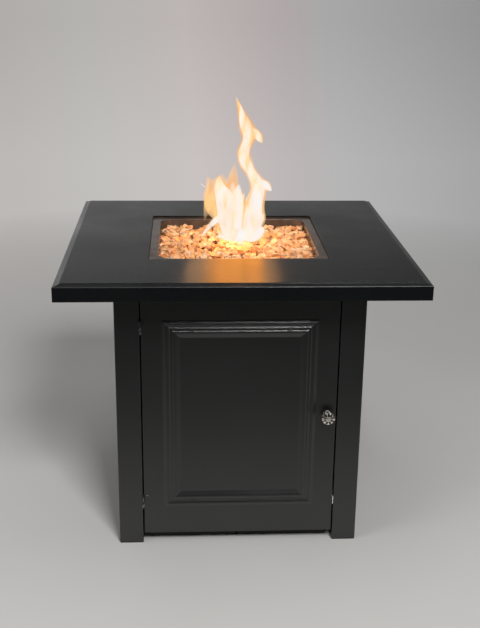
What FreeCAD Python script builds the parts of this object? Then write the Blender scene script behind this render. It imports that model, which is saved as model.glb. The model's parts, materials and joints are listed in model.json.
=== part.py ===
import FreeCAD, Part
import math
import os
import random
import Sketcher
from FreeCAD import Placement, Rotation, Vector

# Square gas fire pit table with a cupboard for the gas bottle.
# X runs to the right, Y to the back and Z up. The origin is the middle of the floor under the table.

SIZES = {
    # table top, a folded sheet with a lid recess
    "top_width": 711,
    "table_height": 608,
    "top_depth": 33,
    "top_gauge": 1.6,
    "bevel_width": 12.5,
    "bevel_drop": 3,
    "field_step": 1.5,
    "edge_radius": 2,
    "hem_width": 12,
    "lid_recess": 367,
    "lid_recess_depth": 4,
    "recess_corner": 4,
    "seat_width": 11,
    # welded frame between the base and the top
    "frame_width": 25,
    "frame_height": 20,
    "frame_wall": 1.5,
    "frame_bolt_inset": 60,
    # base
    "base_width": 502,
    "post_width": 50,
    "post_wall": 2,
    "post_radius": 1.5,
    "foot_height": 3,
    "foot_inset": 0.6,
    "foot_plug": 11,
    "plug_clearance": 0.2,
    "rail_height": 38,
    "rail_gauge": 1.6,
    # panels and door, stamped sheets with a moulding
    "panel_depth": 20,
    "panel_gauge": 1.6,
    "panel_foot": 23.5,
    "panel_bend": 1.4,
    "panel_gap": 0.3,
    "door_gap": 2.5,
    "liner_gauge": 1.2,
    "moulding_side": 41,
    "moulding_low": 62.5,
    "moulding_high": 43.6,
    "ramp_width": 9.5,
    "ramp_rise": 3.3,
    "valley_place": 13.6,
    "valley_rise": 2,
    "bead_place": 17,
    "bead_rise": 4.2,
    "bead_foot": 20.4,
    "bead_foot_rise": 3.9,
    "crest_place": 23.6,
    "crest_rise": 5.6,
    "crest_end": 26,
    "chamfer_end": 37,
    "field_rise": 1.5,
    "vent_length": 60,
    "vent_height": 7,
    "vent_pitch": 78,
    "vent_row": 30,
    # tray for the gas bottle
    "tray_gauge": 1.6,
    "tray_floor": 26,
    "tray_lip": 5,
    "tray_gap": 1,
    "tray_lip_short": 12,
    "tray_notch_place": -2,
    "tray_notch_width": 5,
    "tray_notch_height": 5,
    "bottle_ring": 112,
    "bottle_ring_wall": 3,
    "bottle_ring_height": 10,
    "tray_vent": 45,
    # hinges
    "knuckle_radius": 3,
    "knuckle_gap": 0.2,
    "leaf_gauge": 1.1,
    "leaf_depth": 17,
    "hinge_pin_radius": 1.5,
    "pin_clearance": 0.05,
    "lower_hinge_foot": 84,
    "upper_hinge_drop": 71.9,
    "hinge_height": 28,
    "hinge_split": 14.4,
    "rivet_inset": 6.5,
    "rivet_head": 2.3,
    "rivet_rise": 1.1,
    "rivet_shank": 1.2,
    "rivet_lift": 29,
    # door knob
    "knob_place": 180.4,
    "knob_drop": 251.5,
    "knob_radius": 14.25,
    "knob_rose": 9,
    "knob_rose_rise": 2.6,
    "knob_neck": 4.5,
    "knob_neck_end": 12.5,
    "knob_face": 24,
    "knob_base_radius": 5.85,
    "knob_underside_radius": 12.8,
    "knob_underside": 15.7,
    "knob_waist": 18.25,
    "knob_shoulder_radius": 13.25,
    "knob_shoulder": 20.8,
    "knob_crown_radius": 9.4,
    "knob_crown": 22.6,
    "knob_centre_radius": 4.3,
    "knob_bore_depth": 14,
    "petal_flute": 2.2,
    "petal_slot": 2,
    "petal_slot_depth": 22.6,
    "petal_slot_start": 5.5,
    "knob_screw_radius": 2,
    "knob_screw_head": 4.5,
    "knob_screw_head_height": 2.4,
    # magnetic catch
    "catch_foot": 85.6,
    "catch_height": 16.8,
    "catch_width": 21,
    "catch_depth": 18,
    "catch_lip": 1.4,
    "catch_lip_front": 1.5,
    "strike_gauge": 1,
    "strike_width": 18,
    "strike_gap": 0.3,
    # burner pan
    "pan_gauge": 1.6,
    "pan_opening": 330,
    "pan_corner": 32,
    "pan_depth": 55,
    "pan_clearance": 0.8,
    "pan_lip_radius": 1.2,
    "pan_floor_radius": 6,
    "drain_radius": 4,
    "drain_place": 120,
    # fire glass
    "glass_clearance": 0.3,
    "glass_depth": 27,
    "chunk_largest": 14,
    "chunk_smallest": 8.5,
    "chunk_gap": 0.3,
    "chunk_low": 12,
    "chunk_high": 21,
    # burner
    "ring_radius": 66,
    "ring_tube": 9.5,
    "ring_wall": 1.4,
    "cross_tube": 8,
    "cross_tube_drop": 0.4,
    "hub_radius": 17,
    "port_radius": 1.3,
    "bed_slot_clearance": 2,
    "nipple_radius": 10.5,
    "nipple_bore": 7.5,
    "thread_clearance": 0.05,
    "collar_height": 6,
    "collar_width": 30,
    "nipple_grip": 9,
    "locknut_height": 8,
    "elbow_radius": 14,
    "elbow_reach": 34,
    "elbow_gap": 1.4,
    "venturi_radius": 12.5,
    "venturi_bore": 9,
    "venturi_length": 78,
    "air_slot_length": 20,
    "air_slot_height": 9,
    "orifice_length": 16,
    "orifice_hex": 24,
    # heat shield
    "shield_width": 300,
    "shield_gauge": 1.2,
    "shield_drop": 48,
    "shield_flange": 12,
    "shield_screw_inset": 8,
    # spark electrode and flame sensor
    "pilot_place": 95,
    "pilot_bracket_width": 34,
    "pilot_bracket_depth": 18,
    "pilot_bracket_height": 22,
    "pilot_bracket_gauge": 1.5,
    "pilot_spread": 8,
    "insulator_radius": 3.5,
    "electrode_radius": 1.1,
    "electrode_tip": 9,
    "probe_radius": 2.5,
    "pilot_drop": 4,
    "pilot_clearance": 0.1,
    "pilot_hole_clearance": 0.7,
    "insulator_top": 5,
    # controls on the right side
    "control_drop": 67.9,
    "bezel_gauge": 3,
    "bezel_width": 124,
    "bezel_height": 64,
    "bezel_corner": 6,
    "bezel_centre": -30,
    "bezel_screw_inset": 7,
    "knob_spacing": 56,
    "moulding_clear": 14,
    "valve_size": 34,
    "valve_length": 42,
    "bonnet_radius": 9,
    "bonnet_rise": 4,
    "plug_radius": 7,
    "plug_length": 26,
    "plug_back": 6,
    "stem_radius": 4,
    "stem_flat": 2.6,
    "stem_seat": 10,
    "stem_travel": 3,
    "running_clearance": 0.05,
    "gas_knob_skirt": 20,
    "gas_knob_grip": 15.5,
    "gas_knob_skirt_height": 5,
    "gas_knob_height": 22,
    "gas_knob_gap": 0.5,
    "grip_flute": 2.4,
    "pointer_width": 2,
    "pointer_depth": 0.8,
    "control_nut_width": 24,
    "control_nut_height": 3,
    "igniter_nut_width": 26.4,
    "igniter_radius": 12,
    "igniter_length": 32,
    "igniter_neck": 10.5,
    "igniter_neck_rise": 6,
    "button_radius": 8,
    "button_rise": 6,
    "button_travel": 4,
    "button_rest": 24,
    "button_clearance": 0.1,
    "inlet_radius": 7.94,
    "inlet_length": 14,
    "inlet_hex": 20,
    "inlet_hex_height": 5,
    "inlet_inset": 10,
    # gas tube and leads
    "gas_tube_radius": 4,
    "gas_tube_bend": 20,
    "gas_tube_gap": 0.3,
    "lead_radius": 1.6,
    "lead_bend": 14,
    "lead_reach": 16,
    "lead_clearance": 8,
    "lead_spacing": 6,
    # screws
    "screw_radius": 2,
    "screw_head": 4.2,
    "screw_head_height": 2.4,
    "screw_length": 9,
    "screw_clearance": 0.15,
    "panel_screw_low": 100,
    "panel_screw_drop": 95.9,
    "tray_screw_height": 19,
    "tray_screw_inset": 35,
    "bezel_screw_head": 3.4,
    "bezel_screw_head_height": 1.7,
    "bolt_radius": 3,
    "bolt_head": 5.5,
    "bolt_head_height": 4,
    "bolt_length": 12,
    # overshoot of cutting shapes past the surface they cut
    "overshoot": 1,
}

PETALS = 9
GRIP_FLUTES = 12
BURNER_PORTS = 24
VENTS = 4
GLASS_SEED = 7
GLASS_TRIES = 20000
# Rise for each step across, where the moulding leaves the sheet and where it meets the field.
RAMP_SLOPE = 0.1
CHAMFER_SLOPE = 0.37
# Chunks are left out over the burner where the ring shows through.
RING_GAP_HALF_WIDTH = 52
CHUNK_SIDES = (5, 6, 6, 7)
CHUNK_REACH = (0.8, 1.0)
CHUNK_FOOT = 0.78
CHUNK_WAIST = (0.3, 0.5)
CHUNK_TOP = (0.55, 0.75)
# A bend takes up at most this share of the shorter straight run beside it.
LONGEST_BEND = 0.45
SIDE_ANGLES = {"front": 0, "right": 90, "back": 180, "left": 270}


class Size:
    """A length that carries its value and the expression it comes from."""

    def __init__(self, value, text):
        self.value = value
        self.text = text

    def __add__(self, other):
        other = as_size(other)
        return Size(self.value + other.value, f"({self.text} + {other.text})")

    def __sub__(self, other):
        other = as_size(other)
        return Size(self.value - other.value, f"({self.text} - {other.text})")

    def __mul__(self, other):
        other = as_size(other)
        return Size(self.value * other.value, f"({self.text} * {other.text})")

    def __truediv__(self, other):
        other = as_size(other)
        return Size(self.value / other.value, f"({self.text} / {other.text})")

    def __neg__(self):
        return Size(-self.value, f"(0 - {self.text})")

    def __radd__(self, other):
        return as_size(other) + self

    def __rsub__(self, other):
        return as_size(other) - self

    def __rmul__(self, other):
        return as_size(other) * self


def as_size(number):
    if isinstance(number, Size):
        return number
    return Size(float(number), f"({number:.9g})")


def make_sheet():
    """The spreadsheet of driving dimensions, one alias for each."""
    cells = doc.addObject("Spreadsheet::Sheet", "dims")
    for row, (name, number) in enumerate(SIZES.items(), start=1):
        cells.set(f"A{row}", name)
        cells.set(f"B{row}", str(number))
        cells.setAlias(f"B{row}", name)
    doc.recompute()
    return cells


class Sheet:
    """Gives each driving dimension of the spreadsheet as a Size."""

    def __init__(self, cells):
        self.cells = cells

    def __getattr__(self, name):
        return Size(float(self.cells.get(name)), "dims." + name)


doc = FreeCAD.newDocument("fire_pit_table")
s = Sheet(make_sheet())
nodes = []


# Drawing helpers

def bind(made, **rules):
    """Bind properties of an object to expressions over the spreadsheet."""
    for name, rule in rules.items():
        made.setExpression(name, as_size(rule).text)


def place(made, x, y, z):
    for letter, rule in zip("xyz", (x, y, z)):
        made.setExpression("Placement.Base." + letter, as_size(rule).text)


def keep(made):
    """Mark an object as a finished sub-part, to be written under its label."""
    nodes.append(made)
    return made


def block(name, x, y, z):
    """A box between two values on each axis."""
    made = doc.addObject("Part::Box", name)
    bind(made, Length=x[1] - x[0], Width=y[1] - y[0], Height=z[1] - z[0])
    place(made, x[0], y[0], z[0])
    return made


TURNS = {
    "x": Rotation(Vector(0, 1, 0), 90),
    "y": Rotation(Vector(1, 0, 0), -90),
    "z": Rotation(),
}


def along(axis, across, start):
    """The point that lies at start on the axis and at across on the other two."""
    first, second = across
    return {"x": (start, first, second), "y": (first, start, second), "z": (first, second, start)}[axis]


def rod(name, axis, across, radius, span):
    """A cylinder along an axis between two values on it."""
    made = doc.addObject("Part::Cylinder", name)
    made.Placement = Placement(Vector(), TURNS[axis])
    bind(made, Radius=radius, Height=as_size(span[1]) - span[0])
    place(made, *along(axis, across, span[0]))
    return made


def hexagon(name, axis, across, width, span):
    """A hexagonal prism of a given width across its flats."""
    made = doc.addObject("Part::Prism", name)
    made.Placement = Placement(Vector(), TURNS[axis])
    made.Polygon = 6
    bind(made, Circumradius=width / math.sqrt(3), Height=as_size(span[1]) - span[0])
    place(made, *along(axis, across, span[0]))
    return made


def fuse(name, *parts):
    made = doc.addObject("Part::MultiFuse", name)
    made.Shapes = list(parts)
    made.Refine = True
    return made


def cut(name, base, *tools):
    made = doc.addObject("Part::Cut", name)
    made.Base = base
    made.Tool = tools[0] if len(tools) == 1 else fuse(name + "_cuts", *tools)
    made.Refine = True
    return made


def group(name, parts):
    """Identical pieces that share one node as separate solids."""
    made = doc.addObject("Part::Compound", name)
    made.Links = parts
    return made


def turned(name, made, degrees):
    """A copy of a piece drawn at the front, turned about the middle of the table."""
    copy = doc.addObject("Part::Compound", name)
    copy.Links = [made]
    copy.Placement = Placement(Vector(), Rotation(Vector(0, 0, 1), degrees))
    return copy


def round_edges(name, base, radius, chosen):
    """Round the edges of a piece for which chosen(edge) is true."""
    doc.recompute()
    made = doc.addObject("Part::Fillet", name)
    made.Base = base
    edges = enumerate(base.Shape.Edges, start=1)
    made.Edges = [(number, radius.value, radius.value) for number, edge in edges if chosen(edge)]
    return made


def plane_of(body, role):
    return next(plane for plane in body.Origin.OriginFeatures if plane.Role == role)


def edge_names(shape, chosen):
    return [f"Edge{number}" for number, edge in enumerate(shape.Edges, start=1) if chosen(edge)]


def is_upright(edge):
    box = edge.BoundBox
    return box.ZLength > 0 and box.XLength < 1e-6 and box.YLength < 1e-6


def new_sketch(body, name, role):
    sketch = body.newObject("Sketcher::SketchObject", name)
    sketch.AttachmentSupport = (plane_of(body, role), [""])
    sketch.MapMode = "FlatFace"
    return sketch


def constrain(sketch, name, constraint, rule):
    sketch.renameConstraint(sketch.addConstraint(constraint), name)
    sketch.setExpression("Constraints." + name, as_size(rule).text)


def draw_rectangle(sketch, width, depth):
    """A rectangle centred on the sketch's origin."""
    x, y = width.value / 2, depth.value / 2
    corners = [Vector(-x, -y, 0), Vector(x, -y, 0), Vector(x, y, 0), Vector(-x, y, 0)]
    for side in range(4):
        sketch.addGeometry(Part.LineSegment(corners[side], corners[(side + 1) % 4]))
    for side in range(4):
        sketch.addConstraint(Sketcher.Constraint("Coincident", side, 2, (side + 1) % 4, 1))
        direction = "Vertical" if side % 2 else "Horizontal"
        sketch.addConstraint(Sketcher.Constraint(direction, side))
    sketch.addConstraint(Sketcher.Constraint("Symmetric", 0, 1, 2, 1, -1, 1))
    constrain(sketch, "width", Sketcher.Constraint("DistanceX", 0, 1, 0, 2, width.value), width)
    constrain(sketch, "depth", Sketcher.Constraint("DistanceY", 1, 1, 1, 2, depth.value), depth)


def draw_outline(sketch, points):
    """A closed outline of straight sides, each corner tied to the sketch's origin."""
    points = [(as_size(x), as_size(y)) for x, y in points]
    count = len(points)
    for corner in range(count):
        ends = [Vector(x.value, y.value, 0) for x, y in (points[corner], points[(corner + 1) % count])]
        sketch.addGeometry(Part.LineSegment(*ends))
    for corner, (x, y) in enumerate(points):
        sketch.addConstraint(Sketcher.Constraint("Coincident", corner, 2, (corner + 1) % count, 1))
        right = Sketcher.Constraint("DistanceX", -1, 1, corner, 1, x.value)
        constrain(sketch, f"x{corner}", right, x)
        up = Sketcher.Constraint("DistanceY", -1, 1, corner, 1, y.value)
        constrain(sketch, f"y{corner}", up, y)


def rounded_block(name, x, y, z, corner, floor=None):
    """A body padded from a rectangle, with rounded corners and, if asked, a rounded floor."""
    body = doc.addObject("PartDesign::Body", name)
    sketch = new_sketch(body, name + "_outline", "XY_Plane")
    draw_rectangle(sketch, x[1] - x[0], y[1] - y[0])
    pad = body.newObject("PartDesign::Pad", name + "_pad")
    pad.Profile = sketch
    bind(pad, Length=z[1] - z[0])
    doc.recompute()
    corners = body.newObject("PartDesign::Fillet", name + "_corners")
    corners.Base = (pad, edge_names(pad.Shape, is_upright))
    bind(corners, Radius=corner)
    if floor:
        doc.recompute()
        bottom = edge_names(corners.Shape, lambda edge: edge.BoundBox.ZMax < 1e-6)
        foot = body.newObject("PartDesign::Fillet", name + "_foot")
        foot.Base = (corners, bottom)
        bind(foot, Radius=floor)
    place(body, (x[0] + x[1]) / 2, (y[0] + y[1]) / 2, z[0])
    return body


def turned_body(name, points):
    """A body revolved about its own Y axis from an outline of radius and height."""
    body = doc.addObject("PartDesign::Body", name)
    sketch = new_sketch(body, name + "_profile", "XY_Plane")
    draw_outline(sketch, points)
    spin = body.newObject("PartDesign::Revolution", name + "_spin")
    spin.Profile = sketch
    spin.ReferenceAxis = (sketch, ["V_Axis"])
    spin.Angle = 360
    return body


def solid_feature(name, shape):
    """A sub-part whose shape is worked out from the spreadsheet's values."""
    made = doc.addObject("Part::Feature", name)
    made.Shape = shape
    return made


def mirrored(sign, low, high):
    """The same stretch on the plus or the minus side."""
    return (low, high) if sign > 0 else (-high, -low)


def both(half):
    return (-half, half)


def tube_shape(points, radius, bend):
    """A round tube along straight runs joined by tangent arcs."""
    corners = [Vector(*point) for point in points]
    edges = []
    start = corners[0]
    for before, corner, after in zip(corners, corners[1:], corners[2:]):
        back = (before - corner).normalize()
        ahead = (after - corner).normalize()
        half_turn = (math.pi - back.getAngle(ahead)) / 2
        shorter = min((before - corner).Length, (after - corner).Length)
        reach = min(bend * math.tan(half_turn), LONGEST_BEND * shorter)
        arc_radius = reach / math.tan(half_turn)
        first, last = corner + back * reach, corner + ahead * reach
        inward = (back + ahead).normalize()
        middle = corner + inward * (arc_radius / math.cos(half_turn) - arc_radius)
        edges.append(Part.LineSegment(start, first).toShape())
        edges.append(Part.Arc(first, middle, last).toShape())
        start = last
        print(f"  bend radius {arc_radius:.1f}")
    edges.append(Part.LineSegment(start, corners[-1]).toShape())
    path = Part.Wire(edges)
    circle = Part.Circle(corners[0], (corners[1] - corners[0]).normalize(), radius)
    tube = path.makePipeShell([Part.Wire(circle.toShape())], True, False)
    print(f"  tube volume {tube.Volume:.0f}, section by length {math.pi * radius ** 2 * path.Length:.0f}")
    return tube


# Levels and places that several sub-parts share

half_top = s.top_width / 2
half_base = s.base_width / 2
skirt_bottom = s.table_height - s.top_depth
sheet_under = s.table_height - s.top_gauge
base_top = sheet_under - s.frame_height
rail_bottom = base_top - s.rail_height
panel_top = rail_bottom - s.door_gap
post_face = half_base - s.post_width
front = -half_base
flange_top = s.table_height - s.lid_recess_depth
seat_top = flange_top - s.pan_gauge
pan_floor = flange_top - s.pan_depth
pan_under = pan_floor - s.pan_gauge
bed_top = flange_top - s.glass_depth
hub_foot = pan_floor + s.collar_height
burner_height = pan_under - s.locknut_height - s.elbow_gap - s.elbow_radius
shield_floor = pan_under - s.shield_drop
upper_hinge_foot = panel_top - s.upper_hinge_drop
knob_height = panel_top - s.knob_drop
control_height = panel_top - s.control_drop
panel_screw_high = panel_top - s.panel_screw_drop
shield_screw_place = s.shield_width / 2 - s.pan_corner - s.shield_screw_inset
door_half = post_face - s.door_gap
door_back = front + s.panel_depth
hinge_x = -post_face + s.door_gap / 2
hinge_y = front - s.knuckle_radius - s.knuckle_gap
side_face = half_base
side_inner = side_face - s.panel_gauge
valve_y = s.bezel_centre - s.knob_spacing / 2
button_y = s.bezel_centre + s.knob_spacing / 2
bezel_face = side_face + s.bezel_gauge
screw_hole = s.screw_radius + s.screw_clearance
panel_screw_y = front + s.panel_depth / 2


# Table top

def table_top():
    step = s.table_height - s.field_step
    bevel_foot = step - s.bevel_drop
    skirt = block("top_skirt", both(half_top), both(half_top), (skirt_bottom, bevel_foot))
    bevel = doc.addObject("Part::Wedge", "top_bevel")
    bevel.Placement = Placement(Vector(), Rotation(Vector(1, 0, 0), 90))
    inner = half_top - s.bevel_width
    bind(bevel, Xmin=-half_top, Xmax=half_top, Zmin=-half_top, Zmax=half_top, Ymin=0, Ymax=s.bevel_drop,
         X2min=-inner, X2max=inner, Z2min=-inner, Z2max=inner)
    place(bevel, 0, 0, bevel_foot)
    field = block("top_field", both(inner), both(inner), (step, s.table_height))
    solid = fuse("top_solid", skirt, bevel, field)
    reach = half_top.value - 1e-3

    def outer_edge(edge):
        box = edge.BoundBox
        level = abs(box.ZMin - bevel_foot.value) < 1e-3 and box.ZLength < 1e-3
        return level and max(abs(box.XMin), abs(box.XMax)) > reach

    soft = round_edges("top_soft", solid, s.edge_radius, outer_edge)
    wall = half_top - s.top_gauge
    under_bevel = inner - s.top_gauge
    mouth = half_top - s.hem_width
    hem_top = skirt_bottom + s.top_gauge
    hollows = [
        block("top_mouth", both(mouth), both(mouth), (skirt_bottom - s.overshoot, hem_top)),
        block("top_hollow", both(wall), both(wall), (hem_top, bevel_foot - s.top_gauge)),
        block("top_field_hollow", both(under_bevel), both(under_bevel), (hem_top, sheet_under)),
    ]
    shell = cut("top_shell", soft, *hollows)
    recess = s.lid_recess / 2
    ledge_half = recess + s.top_gauge
    ledge_z = (seat_top - s.top_gauge, sheet_under)
    ledge = rounded_block("top_ledge", both(ledge_half), both(ledge_half), ledge_z, s.recess_corner)
    above = s.table_height + s.overshoot
    pocket_z = (seat_top, above)
    lid_pocket = rounded_block("top_lid_pocket", both(recess), both(recess), pocket_z, s.recess_corner)
    seat = recess - s.seat_width
    below = seat_top - s.top_gauge - s.overshoot
    opening = rounded_block("top_opening", both(seat), both(seat), (below, above), s.pan_corner)
    keep(cut("table_top", fuse("top_with_ledge", shell, ledge), lid_pocket, opening))


def top_frame():
    z = (base_top, sheet_under)
    outer = block("frame_outer", both(half_base), both(half_base), z)
    inside = half_base - s.frame_width
    opening = block("frame_opening", both(inside), both(inside), (z[0] - s.overshoot, z[1] + s.overshoot))
    ring = cut("frame_ring", outer, opening)
    hollow_z = (base_top + s.frame_wall, sheet_under - s.frame_wall)
    outside = half_base - s.frame_wall
    hollow = block("frame_hollow", both(outside), both(outside), hollow_z)
    core_half = inside + s.frame_wall
    core = block("frame_core", both(core_half), both(core_half), hollow_z)
    drills = [
        rod(f"frame_drill_{number}", "z", across, s.bolt_radius + s.screw_clearance,
            (base_top - s.overshoot, base_top + s.frame_wall + s.overshoot))
        for number, across in enumerate(bolt_places())
    ]
    keep(cut("top_frame", ring, cut("frame_tube_hollow", hollow, core), *drills))


def bolt_places():
    """Where the bolts pass from the rails up into the frame, two for each rail."""
    out = half_base - s.panel_depth / 2
    places = []
    for sign in (-1, 1):
        for inset in (-1, 1):
            slide = inset * (post_face - s.frame_bolt_inset)
            places.append((slide, sign * out))
            places.append((sign * out, slide))
    return places


def frame_bolts():
    seat = base_top - s.rail_gauge
    bolts = []
    for number, across in enumerate(bolt_places()):
        head = rod(f"bolt_head_{number}", "z", across, s.bolt_head, (seat - s.bolt_head_height, seat))
        shank = rod(f"bolt_shank_{number}", "z", across, s.bolt_radius, (seat, seat + s.bolt_length))
        bolts.append(fuse(f"bolt_{number}", head, shank))
    keep(group("frame_bolts", bolts))


# Base

def screw_lines(side):
    """Cutters for the screws that hold the panel of one side to its two posts."""
    lines = []
    reach = post_face + s.post_wall + s.overshoot
    for level, height in (("low", s.panel_screw_low), ("high", panel_screw_high)):
        name = f"line_{side}_{level}"
        line = rod(name + "_front", "x", (panel_screw_y, height), screw_hole, both(reach))
        lines.append(turned(name, line, SIDE_ANGLES[side]))
    return lines


PANEL_LINES = {side: screw_lines(side) for side in ("right", "back", "left")}


def tray_line(sign):
    reach = post_face + s.post_wall + s.overshoot
    name = "tray_line_back" if sign > 0 else "tray_line_front"
    return rod(name, "x", tray_screw_at(sign), screw_hole, both(reach))


def tray_screw_at(sign):
    return (sign * (half_base - s.tray_screw_inset), s.tray_screw_height)


TRAY_LINES = {sign: tray_line(sign) for sign in (-1, 1)}


def post(name, x_sign, y_sign):
    x = mirrored(x_sign, post_face, half_base)
    y = mirrored(y_sign, post_face, half_base)
    z = (s.foot_height, base_top)
    tube = rounded_block(name + "_tube", x, y, z, s.post_radius)
    wall = s.post_wall
    hollow = block(name + "_hollow", (x[0] + wall, x[1] - wall), (y[0] + wall, y[1] - wall),
                   (z[0] - s.overshoot, z[1] + s.overshoot))
    side = "right" if x_sign > 0 else "left"
    lines = PANEL_LINES[side] + [TRAY_LINES[y_sign]]
    if y_sign > 0:
        lines = lines + PANEL_LINES["back"]
    keep(cut(name, tube, hollow, *lines))


def posts_and_feet():
    feet = []
    for y_name, y_sign in (("front", -1), ("back", 1)):
        for x_name, x_sign in (("left", -1), ("right", 1)):
            post(f"post_{y_name}_{x_name}", x_sign, y_sign)
            feet.append(foot_cap(f"foot_{y_name}_{x_name}", x_sign, y_sign))
    keep(group("foot_caps", feet))


def foot_cap(name, x_sign, y_sign):
    low, high = post_face + s.foot_inset, half_base - s.foot_inset
    x, y = mirrored(x_sign, low, high), mirrored(y_sign, low, high)
    plate = rounded_block(name + "_plate", x, y, (as_size(0), s.foot_height), s.post_radius)
    inset = s.post_wall + s.plug_clearance
    low, high = post_face + inset, half_base - inset
    x, y = mirrored(x_sign, low, high), mirrored(y_sign, low, high)
    plug = block(name + "_plug", x, y, (s.foot_height, s.foot_height + s.foot_plug))
    return fuse(name, plate, plug)


def top_rail(side):
    name = f"top_rail_{side}"
    y = (front, door_back)
    channel = block(name + "_bar", both(post_face), y, (rail_bottom, base_top))
    gauge = s.rail_gauge
    hollow = block(name + "_hollow", both(post_face), (y[0] + gauge, y[1] + s.overshoot),
                   (rail_bottom + gauge, base_top - gauge))
    slide = post_face - s.frame_bolt_inset
    middle = front + s.panel_depth / 2
    drills = [
        rod(f"{name}_drill_{sign}", "z", (sign * slide, middle), s.bolt_radius + s.screw_clearance,
            (base_top - gauge - s.overshoot, base_top + s.overshoot))
        for sign in (-1, 1)
    ]
    keep(turned(name, cut(name + "_cut", channel, hollow, *drills), SIDE_ANGLES[side]))


# Stamped panels

def moulding_points():
    """Width across the moulding and rise from the sheet, from its outer edge inwards."""
    return [
        (0, 0),
        (s.ramp_width, s.ramp_rise),
        (s.valley_place, s.valley_rise),
        (s.bead_place, s.bead_rise),
        (s.bead_foot, s.bead_foot_rise),
        (s.crest_place, s.crest_rise),
        (s.crest_end, s.crest_rise),
        (s.chamfer_end, s.field_rise),
    ]


def moulding_curve(corner, lift):
    """The moulding's section at one mitred corner, lifted back from the sheet's outer face."""
    x, z, right, up = corner
    points = []
    for across, rise in moulding_points():
        width = as_size(across).value
        points.append(Vector(x + right * width, front.value - as_size(rise).value + lift, z + up * width))
    start = Vector(right, -RAMP_SLOPE, up)
    end = Vector(right, CHAMFER_SLOPE, up)
    curve = Part.BSplineCurve()
    curve.interpolate(Points=points, InitialTangent=start, FinalTangent=end)
    return curve.toShape()


def moulding_frame(half_width, low, high):
    """The stamped moulding as a closed frame with mitred corners."""
    half, low, high = half_width.value, low.value, high.value
    corners = [(-half, low, 1, 1), (half, low, -1, 1), (half, high, -1, -1), (-half, high, 1, -1)]
    outside = [moulding_curve(corner, 0) for corner in corners]
    inside = [moulding_curve(corner, s.panel_gauge.value) for corner in corners]
    faces = []
    for this in range(4):
        following = (this + 1) % 4
        faces.append(Part.makeRuledSurface(outside[this], outside[following]))
        faces.append(Part.makeRuledSurface(inside[this], inside[following]))
        for end in (0, -1):
            loop = [outside[this], outside[following], inside[following], inside[this]]
            points = [curve.Vertexes[end].Point for curve in loop]
            faces.append(Part.Face(Part.makePolygon(points + points[:1])))
    shell = Part.Shell(faces)
    shell.sewShape()
    solid = Part.Solid(shell)
    if solid.Volume < 0:
        solid.reverse()
    return solid


def panel_skin(name, half_width, bottom, top, depth, moulding_top):
    """A stamped sheet with turned back edges, drawn at the front of the table."""
    gauge = s.panel_gauge
    outline = block(name + "_outline", both(half_width), (front, front + depth), (bottom, top))
    face = front.value + 1e-3
    bent = round_edges(name + "_bent", outline, s.panel_bend, lambda edge: edge.BoundBox.YMax < face)
    hollow = block(name + "_hollow", both(half_width - gauge), (front + gauge, front + depth + s.overshoot),
                   (bottom + gauge, top - gauge))
    half = door_half - s.moulding_side
    low, high = bottom + s.moulding_low, moulding_top
    window_y = (front - s.overshoot, front + gauge + s.overshoot)
    window = block(name + "_window", both(half), window_y, (low, high))
    frame = solid_feature(name + "_moulding", moulding_frame(half, low, high))
    inset = s.chamfer_end
    field = block(name + "_field", both(half - inset), (front - s.field_rise, front - s.field_rise + gauge),
                  (low + inset, high - inset))
    return fuse(name + "_stamping", cut(name + "_rim", bent, hollow, window), frame, field)


def fixed_panel(name, side, moulding_top, *holes):
    half = post_face - s.panel_gap
    skin = panel_skin(name, half, s.panel_foot, rail_bottom - s.panel_gap, s.panel_depth, moulding_top)
    turned_skin = turned(name + "_turned", skin, SIDE_ANGLES[side])
    keep(cut(name, turned_skin, *PANEL_LINES[side], *holes))


def panels():
    moulding_top = panel_top - s.moulding_high
    fixed_panel("side_panel_left", "left", moulding_top)
    low_moulding_top = control_height - s.bezel_height / 2 - s.moulding_clear
    fixed_panel("side_panel_right", "right", low_moulding_top, *control_holes())
    fixed_panel("back_panel", "back", moulding_top, *vents())


def vents():
    """Air slots low and high in the back panel."""
    slots = []
    deep = (half_base - s.panel_depth, half_base + s.field_rise + s.overshoot)
    for row, height in enumerate((s.panel_foot + s.vent_row, panel_top - s.moulding_high + s.vent_row / 2)):
        for slot in range(VENTS):
            middle = (slot - (VENTS - 1) / 2) * s.vent_pitch
            x = (middle - s.vent_length / 2, middle + s.vent_length / 2)
            z = (height - s.vent_height / 2, height + s.vent_height / 2)
            slots.append(block(f"vent_{row}_{slot}", x, deep, z))
    return slots


def panel_screws():
    """Screws of the fixed panels and of the tray, with their heads inside."""
    screws = []
    panel_seat = post_face - s.panel_gap - s.panel_gauge
    for side in ("right", "back", "left"):
        for sign in (-1, 1):
            for level, height in (("low", s.panel_screw_low), ("high", panel_screw_high)):
                name = f"screw_{side}_{level}_{sign}"
                made = screw(name, sign, panel_seat, (panel_screw_y, height))
                screws.append(turned(name + "_placed", made, SIDE_ANGLES[side]))
    for y_sign in TRAY_LINES:
        for sign in (-1, 1):
            name = f"screw_tray_{y_sign}_{sign}"
            screws.append(screw(name, sign, post_face - s.tray_gauge, tray_screw_at(y_sign)))
    keep(group("panel_screws", screws))


def screw(name, sign, seat, across):
    """A screw along X whose head lies against seat and whose shank points outwards."""
    head = rod(name + "_head", "x", across, s.screw_head, mirrored(sign, seat - s.screw_head_height, seat))
    shank = rod(name + "_shank", "x", across, s.screw_radius, mirrored(sign, seat, seat + s.screw_length))
    return fuse(name, head, shank)


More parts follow.
